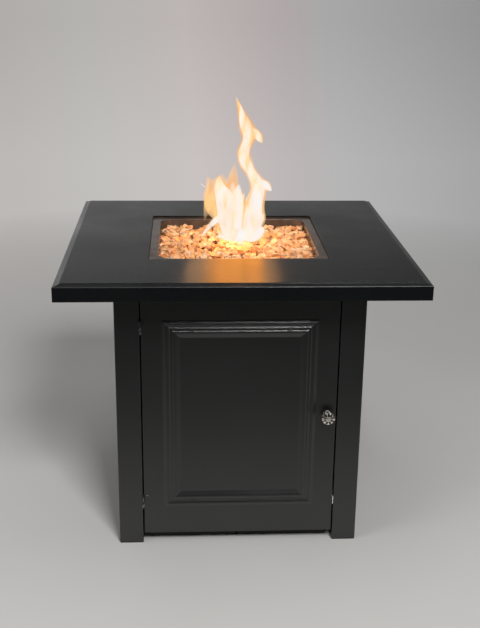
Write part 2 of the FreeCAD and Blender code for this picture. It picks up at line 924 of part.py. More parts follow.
def tank_tray():
    x = both(post_face)
    y = (door_back + s.tray_gap, half_base - s.panel_depth - s.panel_gap)
    gauge = s.tray_gauge
    plate = block("tray_plate", x, y, (s.tray_floor - gauge, s.tray_floor))
    lip_z = (s.tray_lip, s.tray_floor)
    lips = [
        block("tray_lip_left", (x[0], x[0] + gauge), y, lip_z),
        block("tray_lip_right", (x[1] - gauge, x[1]), y, lip_z),
        block("tray_lip_back", x, (y[1] - gauge, y[1]), lip_z),
        block("tray_lip_front", (x[0], x[1] - s.tray_lip_short), (y[0], y[0] + gauge), lip_z),
    ]
    ring_z = (s.tray_floor, s.tray_floor + s.bottle_ring_height)
    ring = rod("bottle_ring_outer", "z", (0, 0), s.bottle_ring + s.bottle_ring_wall, ring_z)
    bore_z = (s.tray_floor, ring_z[1] + s.overshoot)
    bore = rod("bottle_ring_bore", "z", (0, 0), s.bottle_ring, bore_z)
    keep(cut("bottle_ring", ring, bore))
    blank = fuse("tray_blank", plate, *lips)
    vent = rod("tray_vent", "z", (0, 0), s.tray_vent, (s.tray_lip, bore_z[1]))
    notch_x = (s.tray_notch_place - s.tray_notch_width / 2, s.tray_notch_place + s.tray_notch_width / 2)
    notch = block("tray_notch", notch_x, (y[0] - s.overshoot, y[0] + gauge + s.overshoot),
                  (s.tray_lip - s.overshoot, s.tray_lip + s.tray_notch_height))
    keep(cut("tank_tray", blank, vent, notch, *TRAY_LINES.values()))


# Door

def rivet_places():
    x = -door_half + s.rivet_inset
    low = s.lower_hinge_foot + s.rivet_lift
    high = upper_hinge_foot + s.hinge_height - s.rivet_head * 2
    return [(x, low), (x, high)]


def door():
    depth = s.panel_depth - s.liner_gauge
    skin = panel_skin("door", door_half, s.panel_foot, panel_top, depth, panel_top - s.moulding_high)
    span = (front - s.overshoot, front + s.panel_gauge + s.overshoot)
    hole = s.rivet_shank + s.pin_clearance
    drills = [rod(f"rivet_drill_{n}", "y", across, hole, span) for n, across in enumerate(rivet_places())]
    knob_at = (s.knob_place, knob_height)
    knob_hole = s.knob_screw_radius + s.screw_clearance
    drills.append(rod("knob_drill", "y", knob_at, knob_hole, span))
    keep(cut("door_skin", skin, *drills))
    liner_y = (door_back - s.liner_gauge, door_back)
    liner = block("liner_sheet", both(door_half), liner_y, (s.panel_foot, panel_top))
    drill_y = (liner_y[0] - s.overshoot, liner_y[1] + s.overshoot)
    liner_drill = rod("liner_drill", "y", knob_at, knob_hole, drill_y)
    keep(cut("door_liner", liner, liner_drill))


def door_rivets():
    rivets = []
    back = front + s.panel_gauge
    for number, across in enumerate(rivet_places()):
        name = f"rivet_{number}"
        parts = [
            rod(name + "_head", "y", across, s.rivet_head, (front - s.rivet_rise, front)),
            rod(name + "_shank", "y", across, s.rivet_shank, (front, back)),
            rod(name + "_tail", "y", across, s.rivet_head, (back, back + s.rivet_rise)),
        ]
        rivets.append(fuse(name, *parts))
    keep(group("door_rivets", rivets))


def hinge(name, foot):
    """A lift-off hinge: the post's knuckle with its pin below, the door's knuckle above."""
    top = foot + s.hinge_height
    split = foot + s.hinge_split
    post_x = (-post_face, -post_face + s.leaf_gauge)
    door_x = (-door_half - s.leaf_gauge, -door_half)
    plate_y = (front, front + s.leaf_depth)
    tongue_y = (hinge_y, front)
    centre = (hinge_x, hinge_y)
    halves = (
        ("post", post_x, (foot, split), s.hinge_pin_radius),
        ("door", door_x, (split + s.knuckle_gap, top), s.hinge_pin_radius + s.pin_clearance),
    )
    for half, x, z, bore in halves:
        part = f"hinge_{name}_{half}_leaf"
        plate = block(part + "_plate", x, plate_y, (foot, top))
        tongue = block(part + "_tongue", x, tongue_y, z)
        knuckle = rod(part + "_knuckle", "z", centre, s.knuckle_radius, z)
        drill = rod(part + "_bore", "z", centre, bore, (z[0] - s.overshoot, z[1] + s.overshoot))
        keep(cut(part, fuse(part + "_blank", plate, tongue, knuckle), drill))
    return rod(f"hinge_{name}_pin", "z", centre, s.hinge_pin_radius, (foot, top))


def hinges():
    pins = [hinge("lower", s.lower_hinge_foot), hinge("upper", upper_hinge_foot)]
    keep(group("hinge_pins", pins))


def door_knob():
    """A turned knob with a ring of petals parted by slots."""
    rim = s.knob_radius
    face = s.knob_face
    profile = [
        (0, 0),
        (s.knob_rose, 0),
        (s.knob_rose, -s.knob_rose_rise / 2),
        (s.knob_base_radius, -s.knob_rose_rise),
        (s.knob_neck, -s.knob_rose_rise * 2),
        (s.knob_neck, -s.knob_neck_end),
        (s.knob_underside_radius, -s.knob_underside),
        (rim, -s.knob_waist),
        (s.knob_shoulder_radius, -s.knob_shoulder),
        (s.knob_crown_radius, -s.knob_crown),
        (s.knob_centre_radius, -face),
        (0, -face),
    ]
    blank = turned_body("knob_blank", profile)
    place(blank, s.knob_place, front, knob_height)
    tools = []
    for petal in range(PETALS):
        angle = math.radians(360 * petal / PETALS)
        right, up = math.sin(angle), math.cos(angle)
        out = rim + s.petal_flute / 3
        flute_at = (s.knob_place + out * right, knob_height + out * up)
        flute_span = (front - face - s.overshoot, front - s.knob_neck_end)
        tools.append(rod(f"petal_flute_{petal}", "y", flute_at, s.petal_flute, flute_span))
        slot = doc.addObject("Part::Cylinder", f"petal_slot_{petal}")
        slot.Placement = Placement(Vector(), Rotation(Vector(0, 1, 0), 360 * petal / PETALS))
        bind(slot, Radius=s.petal_slot, Height=rim)
        place(slot, s.knob_place + s.petal_slot_start * right, front - s.petal_slot_depth,
              knob_height + s.petal_slot_start * up)
        tools.append(slot)
    across = (s.knob_place, knob_height)
    bore = s.knob_screw_radius + s.thread_clearance
    tools.append(rod("knob_bore", "y", across, bore, (front - s.knob_bore_depth, front + s.overshoot)))
    keep(cut("door_knob", blank, *tools))
    head_y = (door_back, door_back + s.knob_screw_head_height)
    head = rod("knob_screw_head", "y", across, s.knob_screw_head, head_y)
    shank_end = front - s.knob_bore_depth + s.overshoot
    shank = rod("knob_screw_shank", "y", across, s.knob_screw_radius, (shank_end, door_back))
    keep(fuse("door_knob_screw", head, shank))


def catch():
    z = (s.catch_foot, s.catch_foot + s.catch_height)
    strike_x = (door_half - s.strike_width, door_half)
    strike_y = (door_back, door_back + s.strike_gauge)
    keep(block("strike_plate", strike_x, strike_y, z))
    face = strike_y[1] + s.strike_gap
    body = block("catch_body", (post_face - s.catch_width, post_face), (face, face + s.catch_depth), z)
    lip = block("catch_lip", (post_face - s.catch_lip, post_face), (front + s.catch_lip_front, face), z)
    keep(fuse("catch_magnet", body, lip))


# Burner

def burner_pan():
    half = s.lid_recess / 2 - s.pan_clearance
    corner = s.recess_corner
    flange = rounded_block("pan_flange", both(half), both(half), (seat_top, flange_top), corner)
    inside = s.pan_opening / 2
    outside = inside + s.pan_gauge
    bowl = rounded_block("pan_bowl", both(outside), both(outside), (pan_under, seat_top),
                         s.pan_corner + s.pan_gauge, s.pan_floor_radius + s.pan_gauge)
    hollow = rounded_block("pan_hollow", both(inside), both(inside), (pan_floor, flange_top + s.overshoot),
                           s.pan_corner, s.pan_floor_radius)
    shell = cut("pan_shell", fuse("pan_solid", flange, bowl), hollow)
    edge_reach = inside.value + 1e-3

    def inner_lip(edge):
        box = edge.BoundBox
        level = box.ZMin > flange_top.value - 1e-3
        return level and max(abs(v) for v in (box.XMin, box.XMax, box.YMin, box.YMax)) < edge_reach

    soft = round_edges("pan_soft", shell, s.pan_lip_radius, inner_lip)
    z = (pan_under - s.overshoot, pan_floor + s.overshoot)
    drills = [rod("pan_nipple_drill", "z", (0, 0), s.nipple_radius + s.screw_clearance, z)]
    for x_sign in (-1, 1):
        for y_sign in (-1, 1):
            at = (x_sign * s.drain_place, y_sign * s.drain_place)
            drills.append(rod(f"pan_drain_{x_sign}_{y_sign}", "z", at, s.drain_radius, z))
            drills.append(rod(f"pan_shield_drill_{x_sign}_{y_sign}", "z", shield_screw_at(x_sign, y_sign),
                              screw_hole, z))
    for sign, radius in ((-1, s.insulator_radius), (1, s.probe_radius)):
        at = (sign * s.pilot_spread, s.pilot_place)
        drills.append(rod(f"pan_pilot_drill_{sign}", "z", at, radius + s.pilot_hole_clearance, z))
    keep(cut("burner_pan", soft, *drills))


def shield_screw_at(x_sign, y_sign):
    return (x_sign * shield_screw_place, y_sign * (s.shield_width / 2 - s.shield_flange / 2))


def heat_shield():
    half = s.shield_width / 2
    gauge = s.shield_gauge
    parts = [block("shield_floor", both(half), both(half), (shield_floor, shield_floor + gauge))]
    for sign in (-1, 1):
        wall_y = mirrored(sign, half - gauge, half)
        flange_y = mirrored(sign, half - s.shield_flange, half)
        parts.append(block(f"shield_wall_{sign}", both(half), wall_y, (shield_floor, pan_under)))
        flange_half = half - s.pan_corner
        flange_z = (pan_under - gauge, pan_under)
        parts.append(block(f"shield_flange_{sign}", both(flange_half), flange_y, flange_z))
    z = (pan_under - gauge - s.overshoot, pan_under + s.overshoot)
    corners = [(x_sign, y_sign) for x_sign in (-1, 1) for y_sign in (-1, 1)]
    drills = [
        rod(f"shield_drill_{number}", "z", shield_screw_at(*corner), screw_hole, z)
        for number, corner in enumerate(corners)
    ]
    keep(cut("heat_shield", fuse("shield_blank", *parts), *drills))
    screws = []
    seat = pan_under - gauge
    for number, corner in enumerate(corners):
        at = shield_screw_at(*corner)
        head = rod(f"shield_screw_head_{number}", "z", at, s.screw_head, (seat - s.screw_head_height, seat))
        shank = rod(f"shield_screw_shank_{number}", "z", at, s.screw_radius, (seat, pan_floor))
        screws.append(fuse(f"shield_screw_{number}", head, shank))
    keep(group("shield_screws", screws))


def ring_centre():
    return bed_top - s.glass_clearance - s.ring_tube


def fire_glass_bed():
    """The lower glass as one bed, open round the burner and the pilot bracket."""
    half = s.pan_opening / 2 - s.glass_clearance
    slab = rounded_block("bed_slab", both(half), both(half), (pan_floor, bed_top),
                         s.pan_corner - s.glass_clearance, s.pan_floor_radius)
    z = (pan_floor - s.overshoot, bed_top + s.overshoot)
    room = s.bed_slot_clearance
    outer = rod("bed_ring_outer", "z", (0, 0), s.ring_radius + s.ring_tube + room, z)
    inner = rod("bed_ring_inner", "z", (0, 0), s.ring_radius - s.ring_tube - room, z)
    arm = s.cross_tube + room
    tools = [
        cut("bed_ring_slot", outer, inner),
        rod("bed_hub_slot", "z", (0, 0), s.collar_width / math.sqrt(3) + room, z),
        block("bed_arm_slot", both(s.ring_radius), both(arm), z),
        block("bed_pilot_slot", *pilot_slot(), z),
    ]
    keep(cut("fire_glass_bed", slab, *tools))


def pilot_slot():
    room = s.bed_slot_clearance
    back = s.pilot_place + s.pilot_bracket_depth / 2 + room
    near = s.pilot_place - s.pilot_bracket_depth / 2 - room
    return both(s.pilot_bracket_width / 2 + room), (near, back)


def chunk_shape(at, radius, height, chance):
    """One lump of glass: an uneven block with a wide waist on a smaller foot."""
    sides = chance.choice(CHUNK_SIDES)
    spin = chance.uniform(0, 2 * math.pi)
    reach = [chance.uniform(*CHUNK_REACH) for side in range(sides)]
    layers = []
    waist, top = chance.uniform(*CHUNK_WAIST), chance.uniform(*CHUNK_TOP)
    for level, spread in ((0, CHUNK_FOOT), (waist, 1), (1, top)):
        z = at.z + height * level
        ring = []
        for side in range(sides):
            angle = spin + 2 * math.pi * side / sides
            out = radius * spread * reach[side]
            ring.append(Vector(at.x + out * math.cos(angle), at.y + out * math.sin(angle), z))
        layers.append(Part.makePolygon(ring + ring[:1]))
    return Part.makeLoft(layers, True, True)


def fire_glass():
    """The top layer of glass as separate lumps of mixed size, thrown on the bed side by side."""
    chance = random.Random(GLASS_SEED)
    room = s.pan_opening.value / 2 - s.glass_clearance.value
    slot_x, slot_y = pilot_slot()
    smallest, largest, gap = s.chunk_smallest.value, s.chunk_largest.value, s.chunk_gap.value
    placed = []
    for throw in range(GLASS_TRIES):
        x, y = chance.uniform(-room, room), chance.uniform(-room, room)
        beside = [math.hypot(x - at_x, y - at_y) - other - gap for at_x, at_y, other in placed]
        reach = min([largest, pan_room(x, y, room)] + beside)
        if reach < smallest:
            continue
        if abs(x) < slot_x[1].value + reach and slot_y[0].value - reach < y < slot_y[1].value + reach:
            continue
        near_ring = abs(math.hypot(x, y) - s.ring_radius.value) < reach
        if near_ring and y < 0 and abs(x) < RING_GAP_HALF_WIDTH:
            continue
        placed.append((x, y, reach))
    chunks = []
    for x, y, reach in placed:
        height = chance.uniform(s.chunk_low.value, s.chunk_high.value)
        chunks.append(chunk_shape(Vector(x, y, bed_top.value), reach, height, chance))
    print(f"  {len(chunks)} lumps of glass")
    keep(solid_feature("fire_glass", Part.makeCompound(chunks)))


def pan_room(x, y, room):
    """How far a place lies from the wall of the pan, with its rounded corners."""
    corner = s.pan_corner.value
    off_x, off_y = abs(x) - (room - corner), abs(y) - (room - corner)
    if min(off_x, off_y) > 0:
        return corner - math.hypot(off_x, off_y)
    return room - max(abs(x), abs(y))


def torus(name, ring_radius, tube_radius):
    made = doc.addObject("Part::Torus", name)
    bind(made, Radius1=ring_radius, Radius2=tube_radius)
    place(made, 0, 0, ring_centre())
    return made


def burner_ring():
    hub_z = (hub_foot, bed_top - s.glass_clearance)
    z = hub_z[1] - s.cross_tube - s.cross_tube_drop
    inside = s.ring_tube - s.ring_wall
    arm_bore = s.cross_tube - s.ring_wall
    body = fuse(
        "burner_solid",
        torus("burner_torus", s.ring_radius, s.ring_tube),
        rod("burner_arm", "x", (0, z), s.cross_tube, both(s.ring_radius)),
        rod("burner_hub", "z", (0, 0), s.hub_radius, hub_z),
    )
    top = hub_z[1] + s.overshoot
    tools = [
        torus("burner_torus_bore", s.ring_radius, inside),
        rod("burner_arm_bore", "x", (0, z), arm_bore, both(s.ring_radius)),
        rod("burner_hub_bore", "z", (0, 0), s.nipple_radius + s.thread_clearance,
            (hub_foot - s.overshoot, hub_foot + s.nipple_grip)),
    ]
    for port in range(BURNER_PORTS):
        angle = 2 * math.pi * (port + 0.5) / BURNER_PORTS
        at = (s.ring_radius * math.cos(angle), s.ring_radius * math.sin(angle))
        tools.append(rod(f"burner_port_{port}", "z", at, s.port_radius, (z, top)))
    keep(cut("burner_ring", body, *tools))


def burner_feed():
    """Threaded pipe, locknut, elbow, mixing tube and orifice below the burner."""
    pipe_z = (burner_height, hub_foot + s.nipple_grip - s.overshoot)
    bore_z = (pipe_z[0] - s.overshoot, pipe_z[1] + s.overshoot)
    collar = hexagon("nipple_collar", "z", (0, 0), s.collar_width, (pan_floor, hub_foot))
    pipe = rod("nipple_pipe", "z", (0, 0), s.nipple_radius, pipe_z)
    bore = rod("nipple_bore_tool", "z", (0, 0), s.nipple_bore, bore_z)
    keep(cut("burner_nipple", fuse("nipple_blank", collar, pipe), bore))
    thread = s.nipple_radius + s.thread_clearance
    nut_z = (pan_under - s.locknut_height, pan_under)
    nut = hexagon("locknut_blank", "z", (0, 0), s.collar_width, nut_z)
    nut_bore = rod("locknut_bore", "z", (0, 0), thread, (nut_z[0] - s.overshoot, nut_z[1] + s.overshoot))
    keep(cut("burner_locknut", nut, nut_bore))
    z = burner_height
    elbow_top = nut_z[0] - s.elbow_gap
    reach = s.elbow_reach
    elbow = fuse(
        "elbow_blank",
        rod("elbow_socket", "z", (0, 0), s.elbow_radius, (z, elbow_top)),
        sphere("elbow_ball", (0, 0, z), s.elbow_radius),
        rod("elbow_arm", "x", (0, z), s.elbow_radius, (0, reach)),
    )
    elbow_thread = rod("elbow_thread", "z", (0, 0), thread, (z, elbow_top + s.overshoot))
    elbow_bore = rod("elbow_bore", "x", (0, z), s.venturi_bore, (0, reach + s.overshoot))
    keep(cut("burner_elbow", elbow, elbow_thread, elbow_bore))
    end = reach + s.venturi_length
    tube = rod("venturi_blank", "x", (0, z), s.venturi_radius, (reach, end))
    bore_x = (reach - s.overshoot, end + s.overshoot)
    tube_bore = rod("venturi_bore_tool", "x", (0, z), s.venturi_bore, bore_x)
    slot_x = (end - s.air_slot_length * 1.5, end - s.air_slot_length / 2)
    slot = block("venturi_air_slot", slot_x, both(s.venturi_radius + s.overshoot),
                 (z - s.air_slot_height / 2, z + s.air_slot_height / 2))
    keep(cut("venturi_tube", tube, tube_bore, slot))
    stop = end + s.orifice_length
    plug_in = rod("orifice_spigot", "x", (0, z), s.venturi_bore, (end - s.air_slot_length / 2, end))
    shoulder = hexagon("orifice_shoulder", "x", (0, z), s.orifice_hex, (end, stop))
    jet = rod("orifice_bore", "x", (0, z), s.port_radius, (end - s.air_slot_length, stop + s.overshoot))
    keep(cut("orifice_fitting", fuse("orifice_blank", plug_in, shoulder), jet))
    return stop


def sphere(name, at, radius):
    made = doc.addObject("Part::Sphere", name)
    bind(made, Radius=radius)
    place(made, *at)
    return made


def pilot_set():
    """Bracket with the spark electrode and the flame sensor beside the burner."""
    half = s.pilot_bracket_width / 2
    y = (s.pilot_place - s.pilot_bracket_depth / 2, s.pilot_place + s.pilot_bracket_depth / 2)
    gauge = s.pilot_bracket_gauge
    top = pan_floor + s.pilot_bracket_height
    parts = [
        block("bracket_foot", both(half), y, (pan_floor, pan_floor + gauge)),
        block("bracket_back", both(half), (y[1] - gauge, y[1]), (pan_floor, top)),
        block("bracket_shelf", both(half), y, (top - gauge, top)),
    ]
    z = (pan_floor - s.overshoot, top + s.overshoot)
    drills = []
    for name, sign, radius in (("insulator", -1, s.insulator_radius), ("probe", 1, s.probe_radius)):
        at = (sign * s.pilot_spread, s.pilot_place)
        drills.append(rod(f"bracket_{name}_drill", "z", at, radius + s.pilot_clearance, z))
    keep(cut("pilot_bracket", fuse("bracket_blank", *parts), *drills))
    low = pan_under - s.pilot_drop
    left, right = (-s.pilot_spread, s.pilot_place), (s.pilot_spread, s.pilot_place)
    insulator_z = (low, top + s.insulator_top)
    insulator = rod("insulator_blank", "z", left, s.insulator_radius, insulator_z)
    wire_z = (low, insulator_z[1] + s.electrode_tip)
    wire_bore = rod("insulator_bore", "z", left, s.electrode_radius, (low - s.overshoot, wire_z[1]))
    keep(cut("electrode_insulator", insulator, wire_bore))
    keep(rod("spark_electrode", "z", left, s.electrode_radius, wire_z))
    keep(rod("flame_sensor", "z", right, s.probe_radius, (low, insulator_z[1] + s.electrode_tip / 2)))


# Controls on the right side

def bezel_screw_places():
    y = s.bezel_width / 2 - s.bezel_screw_inset
    z = s.bezel_height / 2 - s.bezel_screw_inset
    return [
        (s.bezel_centre + y_sign * y, control_height + z_sign * z)
        for y_sign in (-1, 1)
        for z_sign in (-1, 1)
    ]


def control_holes():
    """Holes in the right side panel for the valve, the igniter and the bezel's screws."""
    x = (side_face - s.panel_depth / 2, side_face + s.overshoot)
    valve_at, button_at = (valve_y, control_height), (button_y, control_height)
    holes = [
        rod("panel_valve_hole", "x", valve_at, s.bonnet_radius + s.screw_clearance, x),
        rod("panel_igniter_hole", "x", button_at, s.igniter_neck + s.screw_clearance, x),
    ]
    for number, across in enumerate(bezel_screw_places()):
        holes.append(rod(f"panel_bezel_hole_{number}", "x", across, screw_hole, x))
    return holes


def bezel():
    y = (s.bezel_centre - s.bezel_width / 2, s.bezel_centre + s.bezel_width / 2)
    z = (control_height - s.bezel_height / 2, control_height + s.bezel_height / 2)
    plate = block("bezel_plate", (side_face, bezel_face), y, z)
    soft = round_edges("bezel_soft", plate, s.bezel_corner, lambda edge: edge.BoundBox.XLength > 1e-3)
    x = (side_face - s.overshoot, bezel_face + s.overshoot)
    nut_room = s.control_nut_width / math.sqrt(3) + s.screw_clearance
    holes = [
        rod("bezel_valve_hole", "x", (valve_y, control_height), nut_room, x),
        rod("bezel_igniter_hole", "x", (button_y, control_height), s.igniter_neck + s.screw_clearance, x),
    ]
    screws = []
    for number, across in enumerate(bezel_screw_places()):
        holes.append(rod(f"bezel_screw_hole_{number}", "x", across, screw_hole, x))
        head = rod(f"bezel_screw_head_{number}", "x", across, s.bezel_screw_head,
                   (bezel_face, bezel_face + s.bezel_screw_head_height))
        shank = rod(f"bezel_screw_shank_{number}", "x", across, s.screw_radius,
                    (bezel_face - s.screw_length, bezel_face))
        screws.append(fuse(f"bezel_screw_{number}", head, shank))
    keep(cut("control_bezel", soft, *holes))
    keep(group("bezel_screws", screws))


def flatted(name, axis_at, radius, flat, span):
    """A round bar along X with one flat side."""
    bar = rod(name + "_round", "x", axis_at, radius, span)
    y, z = axis_at
    tool = block(name + "_flat", (span[0] - s.overshoot, span[1] + s.overshoot),
                 (y - radius * 2, y + radius * 2), (z + flat, z + radius * 2))
    return cut(name, bar, tool)


def gas_valve():
    at = (valve_y, control_height)
    y, z = at
    half = s.valve_size / 2
    back = side_inner - s.valve_length
    body = block("valve_block", (back, side_inner), (y - half, y + half), (z - half, z + half))
    bonnet_end = side_face + s.bezel_gauge + s.bonnet_rise - s.control_nut_height
    bonnet = rod("valve_bonnet", "x", at, s.bonnet_radius, (side_inner, bonnet_end))
    plug_x = (back + s.plug_back, back + s.plug_back + s.plug_length)
    stem_hole = s.stem_radius + s.running_clearance
    tools = [
        rod("valve_plug_bore", "x", at, s.plug_radius + s.running_clearance, plug_x),
        rod("valve_stem_bore", "x", at, stem_hole, (plug_x[1], bonnet_end + s.overshoot)),
    ]
    keep(cut("gas_valve_body", fuse("valve_blank", body, bonnet), *tools))
    clear = s.running_clearance
    plug_span = (plug_x[0] + clear, plug_x[1] - clear)
    plug = rod("plug_blank", "x", at, s.plug_radius, plug_span)
    seat = plug_x[0] + s.stem_seat
    socket = flatted("plug_socket", at, stem_hole, s.stem_flat + clear,
                     (seat - s.stem_travel - clear, plug_x[1] + s.overshoot))
    keep(cut("gas_valve_plug", plug, socket))
    knob_back = bonnet_end + s.stem_travel + s.gas_knob_gap
    knob_end = knob_back + s.gas_knob_height
    stem_end = knob_end - s.gas_knob_skirt_height
    keep(flatted("gas_valve_stem", at, s.stem_radius, s.stem_flat, (seat, stem_end)))
    gas_knob(at, knob_back, knob_end, stem_end)
    nuts = [
        control_nut("valve_nut", at, s.control_nut_width, s.bonnet_radius, side_face),
        control_nut("igniter_nut", (button_y, z), s.igniter_nut_width, s.igniter_neck, bezel_face),
    ]
    keep(group("control_nuts", nuts))
    gas_inlet(back + s.inlet_inset, y, z - half)
    return back


def control_nut(name, at, width, bore, seat):
    span = (seat, seat + s.control_nut_height)
    blank = hexagon(name + "_blank", "x", at, width, span)
    hole_x = (span[0] - s.overshoot, span[1] + s.overshoot)
    hole = rod(name + "_bore", "x", at, bore + s.thread_clearance, hole_x)
    return cut(name, blank, hole)


def gas_knob(at, back, end, stem_end):
    y, z = at
    skirt_end = back + s.gas_knob_skirt_height
    grip = rod("knob_grip", "x", at, s.gas_knob_grip, (skirt_end, end))
    rim = end.value - 1e-3
    rounding = s.gas_knob_skirt_height / 4
    soft = round_edges("knob_grip_soft", grip, rounding, lambda edge: edge.BoundBox.XMin > rim)
    blank = fuse("gas_knob_blank", rod("knob_skirt", "x", at, s.gas_knob_skirt, (back, skirt_end)), soft)
    tools = [flatted("gas_knob_socket", at, s.stem_radius, s.stem_flat, (back - s.overshoot, stem_end))]
    for flute in range(GRIP_FLUTES):
        angle = 2 * math.pi * (flute + 0.5) / GRIP_FLUTES
        out = s.gas_knob_grip + s.grip_flute / 3
        across = (y + out * math.cos(angle), z + out * math.sin(angle))
        tools.append(rod(f"grip_flute_{flute}", "x", across, s.grip_flute, (skirt_end, end + s.overshoot)))
    pointer_y = (y - s.pointer_width / 2, y + s.pointer_width / 2)
    pointer_z = (z + s.stem_radius, z + s.gas_knob_grip - s.grip_flute)
    tools.append(block("knob_pointer", (end - s.pointer_depth, end + s.overshoot), pointer_y, pointer_z))
    keep(cut("gas_knob", blank, *tools))


def gas_inlet(x, y, top):
    """Threaded fitting that the regulator hose screws onto."""
    hexagon_z = (top - s.inlet_hex_height, top)
    nut = hexagon("inlet_hex_part", "z", (x, y), s.inlet_hex, hexagon_z)
    pin = rod("inlet_thread", "z", (x, y), s.inlet_radius, (hexagon_z[0] - s.inlet_length, hexagon_z[0]))
    bore_z = (hexagon_z[0] - s.inlet_length - s.overshoot, top)
    bore = rod("inlet_bore", "z", (x, y), s.inlet_radius / 3, bore_z)
    keep(cut("gas_inlet_fitting", fuse("inlet_blank", nut, pin), bore))


def igniter():
    at = (button_y, control_height)
    back = side_inner - s.igniter_length
    neck_end = side_face + s.bezel_gauge + s.igniter_neck_rise
    barrel = rod("igniter_barrel", "x", at, s.igniter_radius, (back, side_inner))
    neck = rod("igniter_neck_part", "x", at, s.igniter_neck, (side_inner, neck_end))
    inner_end = neck_end - s.button_rest
    bore_x = (inner_end - s.button_travel - s.running_clearance, neck_end + s.overshoot)
    bore = rod("igniter_bore", "x", at, s.button_radius + s.button_clearance, bore_x)
    keep(cut("igniter_body", fuse("igniter_blank", barrel, neck), bore))
    button = rod("button_blank", "x", at, s.button_radius, (inner_end, neck_end + s.button_rise))
    rim = (neck_end + s.button_rise).value - 1e-3
    keep(round_edges("igniter_button", button, s.button_rise / 5, lambda edge: edge.BoundBox.XMin > rim))
    return back


def gas_lines(orifice_end, valve_back, igniter_back):
    """The gas tube and the two leads, each held at both ends."""
    height = control_height.value
    valve_top = height + s.valve_size.value / 2 + s.gas_tube_gap.value
    valve_x = valve_back.value + s.valve_length.value / 2
    y = valve_y.value
    level = burner_height.value
    tube_points = [
        (valve_x, y, valve_top),
        (valve_x, y, level),
        (valve_x, 0, level),
        (orifice_end.value + s.gas_tube_gap.value, 0, level),
    ]
    bend = s.gas_tube_bend.value
    keep(solid_feature("gas_tube", tube_shape(tube_points, s.gas_tube_radius.value, bend)))
    pilot_low = pan_under.value - s.pilot_drop.value
    spread, pilot_y = s.pilot_spread.value, s.pilot_place.value
    gap = s.gas_tube_gap.value
    low_run = shield_floor.value + s.shield_gauge.value + s.lead_clearance.value
    leads = (
        ("igniter_lead", igniter_back.value - gap, button_y.value, -spread, low_run),
        ("sensor_lead", valve_back.value - gap, y, spread, low_run + s.lead_spacing.value),
    )
    for name, start_x, start_y, end_x, run_level in leads:
        turn_x = start_x - s.lead_reach.value
        points = [
            (start_x, start_y, height),
            (turn_x, start_y, height),
            (turn_x, start_y + s.bezel_width.value / 2, run_level),
            (turn_x, pilot_y, run_level),
            (end_x, pilot_y, run_level),
            (end_x, pilot_y, pilot_low - gap),
        ]
        keep(solid_feature(name, tube_shape(points, s.lead_radius.value, s.lead_bend.value)))


def build():
    table_top()
    top_frame()
    frame_bolts()
    posts_and_feet()
    for side in SIDE_ANGLES:
        top_rail(side)
    panels()
    panel_screws()
    tank_tray()
    door()
    door_rivets()
    hinges()
    door_knob()
    catch()
    burner_pan()
    heat_shield()
    fire_glass_bed()
    fire_glass()
    burner_ring()
    orifice_end = burner_feed()
    pilot_set()
    bezel()
    valve_back = gas_valve()
    igniter_back = igniter()
    gas_lines(orifice_end, valve_back, igniter_back)
    doc.recompute()


def check():
    """Stop if any object of the document failed or any sub-part has a bad shape."""
    for made in doc.Objects:
        states = set(made.State) & {"Invalid", "Error"}
        if states:
            raise RuntimeError(f"{made.Name} is {states}")
    for node in nodes:
        if node.Shape.isNull() or not node.Shape.isValid():
            raise RuntimeError(f"{node.Label} has a bad shape")


def write_parts():
    os.makedirs("parts", exist_ok=True)
    for node in nodes:
        node.Shape.exportStep(f"parts/{node.Label}.step")
    print(f"{len(nodes)} sub-parts written")


build()
check()
write_parts()
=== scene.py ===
import json
import math
import random

import bmesh
import bpy
from mathutils import Matrix, Vector, noise


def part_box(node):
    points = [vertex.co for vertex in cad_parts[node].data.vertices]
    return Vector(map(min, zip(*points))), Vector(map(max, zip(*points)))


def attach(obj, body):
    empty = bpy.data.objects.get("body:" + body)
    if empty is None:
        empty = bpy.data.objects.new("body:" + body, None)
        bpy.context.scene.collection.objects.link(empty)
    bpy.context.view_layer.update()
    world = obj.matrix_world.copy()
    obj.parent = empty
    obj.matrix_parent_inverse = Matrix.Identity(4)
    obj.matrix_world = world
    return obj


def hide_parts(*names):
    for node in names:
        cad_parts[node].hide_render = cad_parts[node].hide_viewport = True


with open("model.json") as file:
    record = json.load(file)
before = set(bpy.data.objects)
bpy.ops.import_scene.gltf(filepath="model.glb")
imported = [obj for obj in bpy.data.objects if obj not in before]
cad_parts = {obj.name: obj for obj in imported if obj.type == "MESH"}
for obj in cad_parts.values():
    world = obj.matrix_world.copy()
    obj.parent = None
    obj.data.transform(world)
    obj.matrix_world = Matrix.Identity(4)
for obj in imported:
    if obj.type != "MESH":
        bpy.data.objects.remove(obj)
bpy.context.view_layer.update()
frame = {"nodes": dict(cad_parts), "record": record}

nodes = frame["nodes"]
scene = bpy.context.scene
scene.view_settings.view_transform = "Standard"


# Materials

